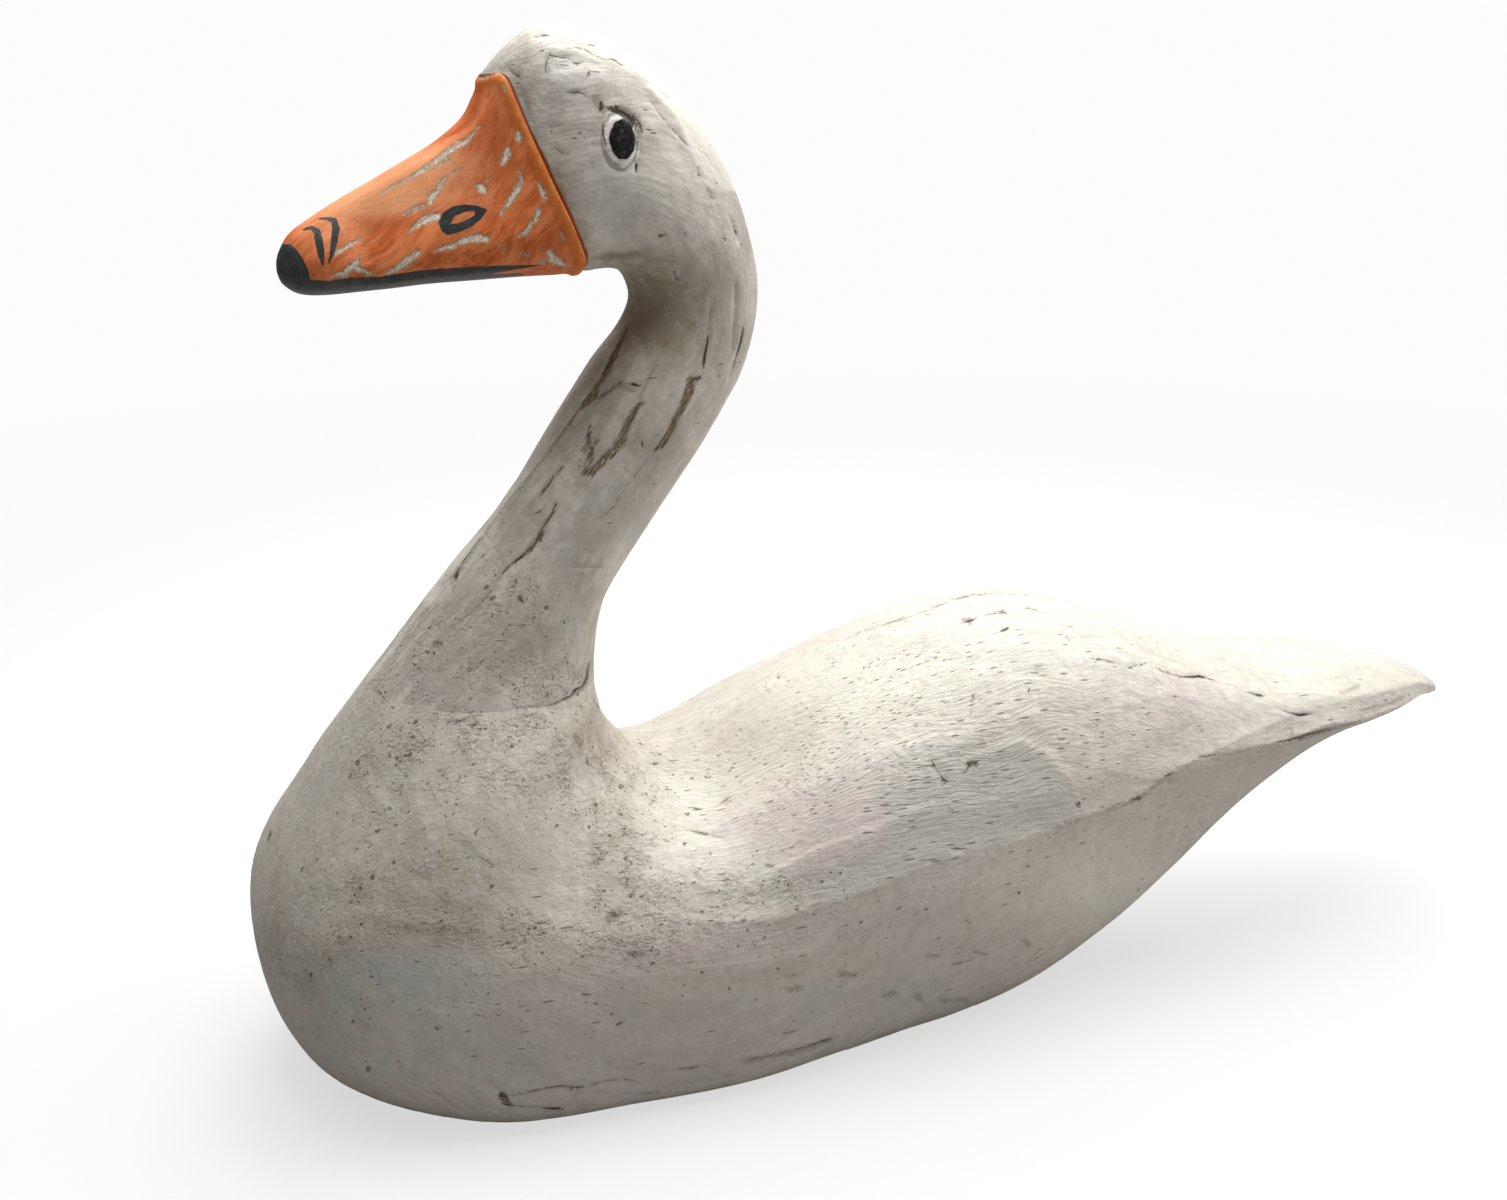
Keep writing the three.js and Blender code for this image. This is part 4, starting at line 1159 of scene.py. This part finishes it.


# Effects that both finishes use, and their colours: white paint, its wear, painted highlight
# and painted shade, and the bare wood

BLEACHED_WHITE = (0.92, 0.87, 0.765, 1)
COAT_GREY = (0.56, 0.545, 0.50, 1)
AGED_WHITE = (0.74, 0.66, 0.56, 1)
COOL_WHITE = (0.60, 0.66, 0.63, 1)
WARM_WHITE = (0.76, 0.64, 0.60, 1)
STREAK_GREY = (0.50, 0.46, 0.41, 1)
GRIME = (0.34, 0.28, 0.20, 1)
PORE_BROWN = (0.30, 0.24, 0.19, 1)
PIT_BROWN = (0.16, 0.13, 0.10, 1)
SMUDGE_BROWN = (0.26, 0.22, 0.17, 1)
BARE_WOOD = (0.40, 0.29, 0.17, 1)
BARE_WOOD_DARK = (0.17, 0.12, 0.07, 1)
CRACK_BLACK = (0.022, 0.017, 0.012, 1)
CRACK_BROWN = (0.16, 0.125, 0.09, 1)
PIT_BLACK = (0.075, 0.062, 0.045, 1)
DAB_LEAN = np.radians(24)
PIT_RATIOS = (0.7, 1.3, 2.2)


def make_way_to_distance():
    """How far a point is from the edge of a small mark: the length of the way, less the width."""
    mark = open_group("way to distance", {"Mark": None})["Mark"]
    length = vector_length(vectors_multiplied(mark, (1, 1, 0)))
    return close_group(Distance=minus(length, split(mark)[2]))


def make_ragged_mask():
    """1 inside a signed distance of 0, with an edge that wanders by the ragged amount."""
    defaults = {"Distance": 1, "Ragged": 1, "Grain": 1, "Softness": 0.2, "Vector": None}
    given = open_group("ragged mask", defaults)
    wander = minus(cloud(given["Vector"], divided(1, given["Grain"]), 2, 0.6), 0.5)
    moved = times_plus(wander, times(given["Ragged"], 2), given["Distance"])
    return close_group(Mask=fade(moved, given["Softness"], times(given["Softness"], -1)))


def ragged(distance, vector, amount, grain, softness):
    """The mask inside a signed distance, with an edge that wanders by the amount."""
    inputs = {"Distance": distance, "Vector": vector, "Ragged": amount, "Grain": grain, "Softness": softness}
    return place(ragged_mask, **inputs)[0]


def make_crack_mask():
    """1 where the distance across a crack is under its half width, and the crack is near."""
    given = open_group("crack mask", {"Crack": None, "Vector": None, "Ragged": 0.7})
    offset, reach, half = split(given["Crack"])
    wander = minus(cloud(given["Vector"], 0.7, 2, 0.6), 0.5)
    across = unsigned(times_plus(wander, given["Ragged"], offset))
    beyond = minus(across, times(half, 0.8))
    line = fade(beyond, times_plus(half, -0.5, 0.55), -0.15)
    close = fade(minus(reach, half), 2.2, 1)
    gaps = fade(cloud(given["Vector"], 0.35, 2, 0.7), 0.4, 0.6, 0.12, 1)
    broken = larger(gaps, fade(half, 0.38, 0.5))
    strength = times(broken, fade(half, 0.08, 0.6, 0.25, 1))
    border = times(fade(beyond, 1.4, 0), fade(half, 0.15, 0.45))
    return close_group(
        Mask=times(times(line, close), strength),
        Deep=fade(half, 0.3, 0.55),
        Border=times(times(border, close), broken),
    )


def make_brush_marks():
    """Streaks that the bristles left: noise drawn out along the first axis of the vector."""
    given = open_group("brush marks", {"Vector": None, "Length": 30, "Width": 1})
    vector = stretched(bent(given["Vector"], 0.03, 0, 14), given["Length"], given["Width"])
    return close_group(Streak=cloud(vector, 1, 3, 0.6))


def brushed(vector, length, width):
    """Streaks of the brush, of the given length and width."""
    return place(brush_marks, Vector=vector, Length=length, Width=width)[0]


def make_wood_pores():
    """Short open pores along the grain, scattered in stretched cells."""
    given = open_group("wood pores", {"Vector": None, "Spacing": 6, "Gap": 2, "Amount": 0.5})
    vector = stretched(given["Vector"], given["Spacing"], given["Gap"])
    return close_group(Mask=scattered(vector, 1, given["Amount"], 0.21, 0.13, 0.5))


def make_pitted_paint():
    """Thick paint that was dabbed on: clods drawn out by the brush and small round pits of
    three sizes, in clusters, where a broad noise and the amount say."""
    given = open_group("pitted paint", {"Vector": None, "Size": 3, "Amount": 0.5})
    patchy = fade(cloud(given["Vector"], 0.085, 3, 0.7), 0.42, 0.62, 0.16, 1)
    crowd = times(smaller(given["Amount"], 1), patchy)
    leaning = turned_on_side(given["Vector"], DAB_LEAN)
    drawn_out = stretched(leaning, times(given["Size"], 1.6), given["Size"])
    clods = minus(fade(cloud(drawn_out, 1.5, 3, 0.62), 0.36, 0.62), 0.5)
    torn = stretched(bent(leaning, 0.7, 1, 2.4), 1.5, 1)
    scale = divided(1, given["Size"])
    share = times_plus(crowd, 0.52, times(given["Amount"], 0.06))
    wide, medium, tiny = (scattered(torn, times(scale, ratio), share, 0.13, 0.2, 0.6) for ratio in PIT_RATIOS)
    return close_group(Pits=larger(larger(wide, medium), tiny), Clods=times(clods, crowd), Crowd=crowd)


def make_worn_white():
    """White paint that is brushed on over wood, aged and dirtied, lighter as painted highlight on faces
    turned up and in some zones, and greyer as painted shade in others. Heights are in millimetres."""
    given = open_group("worn white paint", {
        "Along": None, "Grain": None, "White": (0.8, 0.75, 0.68, 1), "Upward": 0, "Tone": 0, "Dirt": 0,
        "Pitting": 0, "Pores": 0, "Older coat": 0, "Fresh coat": 0, "Bristle": 0.8, "Ripple": 0.09,
        "Clouded": 0.22, "Crack": None, "Blot": None, "Bare wood": 20, "Smudge": 20,
    })
    along, grain = given["Along"], given["Grain"]

    # Brushwork
    fine = brushed(along, 34, given["Bristle"])
    broad = brushed(along, 60, 4)
    ripple = fade(brushed(grain, 12, 1.7), 0.3, 0.7)
    streaks = plus(fade(fine, 0.36, 0.66, 0, 0.5), fade(broad, 0.4, 0.66, 0, 0.5))

    # Ageing, dirt and painted shade
    drift = cloud(grain, 0.022, 3, 0.6)
    tone = times(given["Tone"], fade(cloud(grain, 0.05, 4, 0.65), 0.3, 0.6))
    shows = fade(given["Fresh coat"], 0, 0.9, 1, 0.3)
    mottle = fade(cloud(grain, 0.2, 4, 0.62), 0.46, 0.64, 0, 0.3)
    clouded = times(fade(cloud(stretched(along, 26, 12), 1, 3, 0.6), 0.42, 0.6), given["Clouded"])
    patches = fade(cloud(grain, 0.16, 5, 0.7), 0.36, 0.64, 0.52, 1)
    grime = smaller(times(given["Dirt"], patches), 1.16)

    # Pores, pits and marks
    pores = place(wood_pores, Vector=grain, Spacing=10, Gap=2, Amount=given["Pores"])[0]
    pitted = place(pitted_paint, Vector=grain, Size=2.7, Amount=given["Pitting"])
    smudge = ragged(given["Smudge"], grain, 1.6, 1.6, 1.1)
    streaky = stretched(along, 6, 0.8)
    stain = ragged(given["Bare wood"], streaky, 3.2, 1, 1.6)
    bare = ragged(given["Bare wood"], streaky, 2.4, 1, 0.8)
    flecks = cloud(stretched(along, 2.4, 0.8), 1, 3, 0.6)
    wood = layered(
        BARE_WOOD_DARK,
        (fade(brushed(along, 8, 0.5), 0.4, 0.62), BARE_WOOD),
        (fade(flecks, 0.57, 0.66, 0, 0.75), AGED_WHITE),
        (fade(given["Bare wood"], -1.1, -0.1, 0, 0.55), CRACK_BLACK),
    )
    blot = ragged(place(way_to_distance, Mark=given["Blot"])[0], grain, 1.3, 0.8, 0.25)
    blot = times(blot, fade(cloud(grain, 0.9, 3, 0.6), 0.38, 0.56, 0.4, 1))
    crack = place(crack_mask, Crack=given["Crack"], Vector=grain)

    colour = layered(
        given["White"],
        # Painted highlight: the white is lighter on faces turned up
        (fade(given["Upward"], 0.2, 0.8, 0, 0.9), BLEACHED_WHITE),
        (fade(drift, 0.4, 0.62, 0, 0.3), AGED_WHITE),
        # Painted shade: greyer paint on the shaded facet and zones
        (times(given["Older coat"], 0.75), COAT_GREY),
        # Painted highlight: lighter paint inside the outlines and zones of painted highlight
        (times(given["Fresh coat"], 0.75), BLEACHED_WHITE),
        (fade(tone, -0.1, -0.9, 0, 0.75), COOL_WHITE),
        (fade(tone, 0.1, 0.9, 0, 0.75), WARM_WHITE),
        (times(times(streaks, 0.32), shows), STREAK_GREY),
        (times(mottle, shows), STREAK_GREY),
        (times(clouded, shows), STREAK_GREY),
        # Dirt, and painted shade such as the shadow under the head
        (times(grime, 0.75), GRIME),
        (times(pores, 0.72), PORE_BROWN),
        (times(pitted["Crowd"], 0.06), GRIME),
        (times(pitted["Pits"], 0.8), PIT_BROWN),
        (fade(pitted["Clods"], -0.14, -0.46, 0, 0.32), GRIME),
        (times(smudge, 0.6), SMUDGE_BROWN),
        (times(stain, 0.42), SMUDGE_BROWN),
        (bare, wood),
        (times(blot, 0.85), PIT_BLACK),
        (times(crack["Border"], 0.32), SMUDGE_BROWN),
        (times(crack["Mask"], 0.93), mixed(crack["Deep"], CRACK_BROWN, CRACK_BLACK)),
    )
    rough = times_plus(larger(bare, grime), 0.25, times_plus(streaks, 0.1, 0.56))
    height = summed(
        (fine, 0.2), (broad, 0.5), (ripple, times_plus(given["Pores"], 0.32, given["Ripple"])),
        (cloud(grain, 0.12, 2, 0.6), 0.9), (pores, -0.35), (pitted["Pits"], -0.35),
        (pitted["Clods"], 0.65), (bare, -0.25), (crack["Mask"], -0.4),
    )
    return close_group(Colour=colour, Roughness=rough, Height=height)


way_to_distance = make_way_to_distance()
ragged_mask = make_ragged_mask()
crack_mask = make_crack_mask()
brush_marks = make_brush_marks()
wood_pores = make_wood_pores()
pitted_paint = make_pitted_paint()
worn_white = make_worn_white()


def begin_material(name):
    """A new material, whose empty tree is the one that the helpers fill from now on."""
    material = bpy.data.materials.new(name)
    material.use_nodes = True
    material.node_tree.nodes.clear()
    Painting.tree = material.node_tree
    return material


def finish_material(colour, roughness, height, sheen):
    """The shader and its output: heights in millimetres are felt as a bump."""
    bump = node("ShaderNodeBump", {"Height": height, "Strength": 1, "Distance": METRES}).outputs[0]
    inputs = {"Base Color": colour, "Roughness": roughness, "Normal": bump, "Specular IOR Level": sheen}
    shader = node("ShaderNodeBsdfPrincipled", inputs).outputs[0]
    node("ShaderNodeOutputMaterial", {"Surface": shader})


def object_coordinates():
    return node("ShaderNodeTexCoord").outputs["Object"]


def white_layers(white, pores, **brushwork):
    """The worn white paint with the piece's own marks, on coordinates in millimetres."""
    grain = scaled(object_coordinates(), 1 / METRES)
    values = ("Upward", "Tone", "Dirt", "Pitting", "Older coat", "Fresh coat", "Bare wood", "Smudge")
    inputs = {label: attribute(label.lower().replace(" ", "_")) for label in values}
    inputs |= {label: attribute(label.lower(), "Vector") for label in ("Along", "Crack", "Blot")}
    return place(worn_white, Grain=grain, White=white, Pores=pores, **inputs, **brushwork), grain


# The finishes' colours: whites, the eye, the orange paint with its ground, and the black,
# among them colours for painted highlight, painted shade and painted sheen

BODY_WHITE = (0.735, 0.685, 0.625, 1)
NECK_WHITE = (0.81, 0.76, 0.695, 1)
WHITE_SHEEN = 0.4
STROKE_SLANT = np.radians(-42)
RING_WHITE = (0.93, 0.90, 0.84, 1)
LASH_BROWN = (0.05, 0.035, 0.022, 1)
ORANGE = (0.84, 0.20, 0.05, 1)
ORANGE_DARK = (0.56, 0.12, 0.03, 1)
ORANGE_PALE = (0.98, 0.345, 0.14, 1)
ORANGE_SHADE = (0.26, 0.065, 0.025, 1)
RIM_ORANGE = (0.80, 0.20, 0.035, 1)
BEAD_ORANGE = (0.95, 0.36, 0.11, 1)
ORANGE_FADED = (1, 0.45, 0.22, 1)
GROUND_PALE = (0.95, 0.89, 0.74, 1)
GROUND_GREY = (0.58, 0.53, 0.41, 1)
GROUND_EDGE = (0.30, 0.25, 0.16, 1)
GROUND_OCHRE = (0.60, 0.33, 0.16, 1)
BLACK_PAINT = (0.04, 0.044, 0.045, 1)
PUPIL_BLACK = (0.01, 0.01, 0.01, 1)
BLACK_WORN = (0.10, 0.10, 0.095, 1)


def painted_body():
    """White paint over the whole body, with a few pores all over and more where it is worn."""
    material = begin_material("painted_body")
    pores = times_plus(attribute("pores"), 0.9, 0.07)
    white, _ = white_layers(BODY_WHITE, pores)
    finish_material(white["Colour"], white["Roughness"], white["Height"], WHITE_SHEEN)
    return material


def painted_head_and_neck():
    """White paint as on the body, the orange bill with its flakes and rim, the black paint,
    the cleaner patch on the crown and the eyes."""
    material = begin_material("painted_head_and_neck")
    white, grain = white_layers(NECK_WHITE, 0.08, Bristle=1.5, Ripple=0.02, Clouded=0.66)
    names = ("from_rim", "behind_rim", "faded", "flake")
    from_rim, behind_rim, faded, flake = (attribute(name) for name in names)

    # The orange paint: brush strokes, painted highlight on top, the rim with painted highlight and
    # shade, and the flakes
    slanting = turned_on_side(attribute("along", "Vector"), STROKE_SLANT)
    streak, broad = brushed(slanting, 16, 1.3), brushed(slanting, 30, 4.5)
    shades = fade(cloud(stretched(slanting, 34, 11), 1, 4, 0.6), 0.44, 0.62, 0, 0.62)
    # Painted shade: dark orange in the recess before the bead, and a dark band at the rim where the orange
    # runs onto the cheek
    recess = times(fade(from_rim, 5, 6), fade(from_rim, 8.4, 6.6))
    # Painted highlight: a brighter orange along the rim's bead
    bead = times(fade(from_rim, 0.4, 1.5), fade(from_rim, 4.8, 3.2))
    uneven = fade(cloud(grain, 0.25, 4, 0.6), 0.4, 0.6, 0.1, 0.6)
    torn = stretched(slanting, 2.2, 0.9)
    rubbed = ragged(flake, torn, 2.6, 0.7, 0.3)
    stain = ragged(flake, torn, 3, 2, 1.8)
    ground = mixed(fade(cloud(torn, 1.3, 4, 0.6), 0.4, 0.66), GROUND_PALE, GROUND_GREY)
    orange = layered(
        ORANGE_DARK,
        (fade(streak, 0.36, 0.64), ORANGE),
        (fade(broad, 0.4, 0.6, 0, 0.62), ORANGE_PALE),
        # Painted highlight on the upper bill
        (fade(faded, 0, 1, 0, 0.9), ORANGE_FADED),
        (times(shades, fade(faded, 0, 0.8, 1, 0.2)), ORANGE_DARK),
        (times(fade(from_rim, 6.6, 5.2), 0.8), RIM_ORANGE),
        (times(recess, 0.2), ORANGE_SHADE),
        (times(bead, uneven), BEAD_ORANGE),
        (times(fade(from_rim, 0.9, 0.2), 0.85), ORANGE_SHADE),
        (times(stain, 0.55), GROUND_OCHRE),
        (times(rubbed, fade(streak, 0.34, 0.5, 0.45, 1)), ground),
        (times(rubbed, fade(flake, -0.9, -0.1, 0, 0.32)), GROUND_EDGE),
        (fade(cloud(grain, 0.8, 4, 0.75), 0.66, 0.71, 0, 0.75), GROUND_OCHRE),
    )
    edge = times_plus(minus(cloud(grain, 0.4, 2), 0.5), 0.7, from_rim)
    on_bill = fade(plus(edge, behind_rim), -0.35, -0.1)

    # The black paint
    nostril = larger(attribute("nostril"), times(attribute("nostril_hole"), -1))
    drawn = ragged(attribute("black_paint"), grain, 0.35, 1.2, 0.15)
    black = larger(drawn, ragged(nostril, grain, 0.3, 1.2, 0.15))
    # Worn paint, and painted sheen on the nail and bands: greyer patches in the black
    worn = fade(cloud(grain, 0.25, 4, 0.7), 0.44, 0.7, 0, 0.55)

    # The eye, with 1 on the ring's and the pupil's edge
    wander = minus(cloud(grain, 0.35, 3), 0.5)
    ring_edge = times_plus(wander, 0.3, attribute("eye_ring"))
    # Painted shade: brown in the groove round the ring
    groove = times(fade(ring_edge, 0.98, 1.06), fade(ring_edge, 1.24, 1.12))
    ring = ragged(attribute("eye_white"), grain, 0.5, 1.2, 0.25)
    dabs = fade(cloud(grain, 0.42, 3, 0.6), 0.36, 0.5, 0.35, 1)
    pupil_edge = times_plus(wander, 0.34, attribute("pupil"))
    pupil = fade(pupil_edge, 1.04, 0.98)
    # Worn paint, and painted sheen: greyer dabs on the black pupil
    scuffed = fade(cloud(grain, 0.3, 3, 0.65), 0.5, 0.66, 0, 0.5)
    # Dirt in the cuts round the eye, and painted shade in its grooves
    lash = place(way_to_distance, Mark=attribute("lash", "Vector"))[0]
    lash = ragged(lash, grain, 0.7, 1.2, 0.35)

    crown = ragged(attribute("crown"), grain, 0.5, 1.2, 0.4)
    # Painted shade on the face just behind the bill's rim, and a painted shadow line along the orange's edge
    # on the cheek
    by_the_rim = times(fade(from_rim, -9, -1), fade(cloud(grain, 0.3, 4), 0.3, 0.6))
    colour = layered(
        white["Colour"],
        (times(crown, 0.42), RING_WHITE),
        (times(by_the_rim, 0.5), GRIME),
        (times(fade(plus(from_rim, behind_rim), -1.4, -0.3), 0.5), SMUDGE_BROWN),
        (on_bill, orange),
        (black, mixed(worn, BLACK_PAINT, BLACK_WORN)),
        (times(ring, dabs), RING_WHITE),
        # Painted shade: brown in the groove round the ring and at the pupil's edge
        (times(groove, 0.5), SMUDGE_BROWN),
        (times(fade(pupil_edge, 1.2, 1.02), 0.4), SMUDGE_BROWN),
        (pupil, mixed(scuffed, PUPIL_BLACK, BLACK_WORN)),
        (times(lash, 0.92), LASH_BROWN),
    )
    painted = larger(black, pupil)
    roughness = times_plus(painted, -0.18, times_plus(on_bill, -0.04, white["Roughness"]))
    height = times(times(white["Height"], fade(from_rim, 0, -0.5, 0.25, 1)), fade(pupil, 0, 1, 1, 0.2))
    for mark, rise in ((times(streak, on_bill), 0.3), (times(rubbed, on_bill), -0.3), (painted, 0.08)):
        height = times_plus(mark, rise, height)
    sheen = times_plus(pupil, -0.28, times_plus(on_bill, -0.2, WHITE_SHEEN))
    finish_material(colour, roughness, height, times_plus(black, 0.2, sheen))
    return material


carve_body(painted_body())
carve_head_and_neck(painted_head_and_neck())


# The studio

# The floor in metres: how far out it is flat, the radius of its bend and the wall's height
FLOOR_FLAT = 1.7
FLOOR_BEND = 0.7
FLOOR_WALL = 1.1
FLOOR_THROWS_BACK = (0.36, 0.35, 0.335, 1)
FLOOR_SEEN = (0.9, 0.9, 0.9, 1)
FLOOR_GLOW = (0.98, 0.98, 0.98, 1)


def make_floor():
    """A wide round floor that curves up into a low wall: a profile turned about the Z axis.
    The camera sees it nearly white with soft shadows, but it throws back little light."""
    rings = np.linspace(0.01, FLOOR_FLAT, 11, endpoint=False)
    turn = np.linspace(0, np.pi / 2, 13)
    around = np.linspace(0, 2 * np.pi, 96, endpoint=False)
    outside = FLOOR_FLAT + FLOOR_BEND
    radius = np.concatenate([rings, FLOOR_FLAT + FLOOR_BEND * np.sin(turn), [outside]])
    height = np.concatenate([0 * rings, FLOOR_BEND * (1 - np.cos(turn)), [FLOOR_BEND + FLOOR_WALL]])
    grid = np.stack(np.broadcast_arrays(
        radius[:, None] * np.cos(around), radius[:, None] * np.sin(around), height[:, None]), -1)
    quads, place, _ = skin(len(radius), len(around))
    mesh = bpy.data.meshes.new("floor")
    mesh.from_pydata(grid.reshape(-1, 3).tolist(), [], quads[:, ::-1].tolist() + [list(place[0])])
    mesh.polygons.foreach_set("use_smooth", np.ones(len(mesh.polygons), bool))
    material = begin_material("pale_floor")
    seen = node("ShaderNodeLightPath").outputs["Is Camera Ray"]
    matt = node("ShaderNodeBsdfDiffuse", {"Color": mixed(seen, FLOOR_THROWS_BACK, FLOOR_SEEN)}).outputs[0]
    glow = node("ShaderNodeEmission", {"Color": FLOOR_GLOW}).outputs[0]
    away = vector_length(object_coordinates())
    share = times(seen, fade(away, 0.4, 1.5, 0.66, 1))
    surface = node("ShaderNodeMixShader", {0: share, 1: matt, 2: glow}).outputs[0]
    node("ShaderNodeOutputMaterial", {"Surface": surface})
    mesh.materials.append(material)
    floor = bpy.data.objects.new("floor", mesh)
    bpy.context.scene.collection.objects.link(floor)


def make_light(name, spot, aim, size, watts, colour):
    """A square soft light at a spot in metres, turned to face the aim."""
    lamp = bpy.data.lights.new(name, "AREA")
    lamp.size = size
    lamp.energy = watts
    lamp.color = colour
    light = bpy.data.objects.new(name, lamp)
    back = np.array(spot, float) - aim
    back /= np.linalg.norm(back)
    right = np.cross([0.01, 1, 0.02], back)
    right /= np.linalg.norm(right)
    turned = np.eye(4)
    turned[:3, :3] = np.stack([right, np.cross(back, right), back], 1)
    turned[:3, 3] = spot
    light.matrix_world = Matrix(turned)
    bpy.context.scene.collection.objects.link(light)


make_floor()
MIDDLE = (0, 0, 0.2)
ROOM_LIGHT = 0.01
make_light("back_softbox", (0.2, 0.9, 1.1), MIDDLE, 0.9, 10.5, (1, 0.99, 0.96))
make_light("top_softbox", (0, 0, 1.5), MIDDLE, 1.1, 15, (1, 1, 1))
make_light("right_softbox", (0.8, 0, 1.2), MIDDLE, 0.9, 6.3, (1, 1, 1))
make_light("left_softbox", (-0.7, 0.1, 1.2), MIDDLE, 0.9, 3.6, (1, 1, 1))
make_light("right_fill", (1.3, -0.3, 0.5), MIDDLE, 0.7, 2.8, (1, 1, 1))
make_light("front_fill", (0.5, -1.4, 0.55), MIDDLE, 0.7, 3.7, (1, 1, 1))
world = bpy.data.worlds.new("studio")
world.use_nodes = True
world.node_tree.nodes["Background"].inputs["Color"].default_value = (1, 1, 1, 1)
world.node_tree.nodes["Background"].inputs["Strength"].default_value = ROOM_LIGHT
bpy.context.scene.world = world
bpy.context.scene.view_settings.view_transform = "Standard"
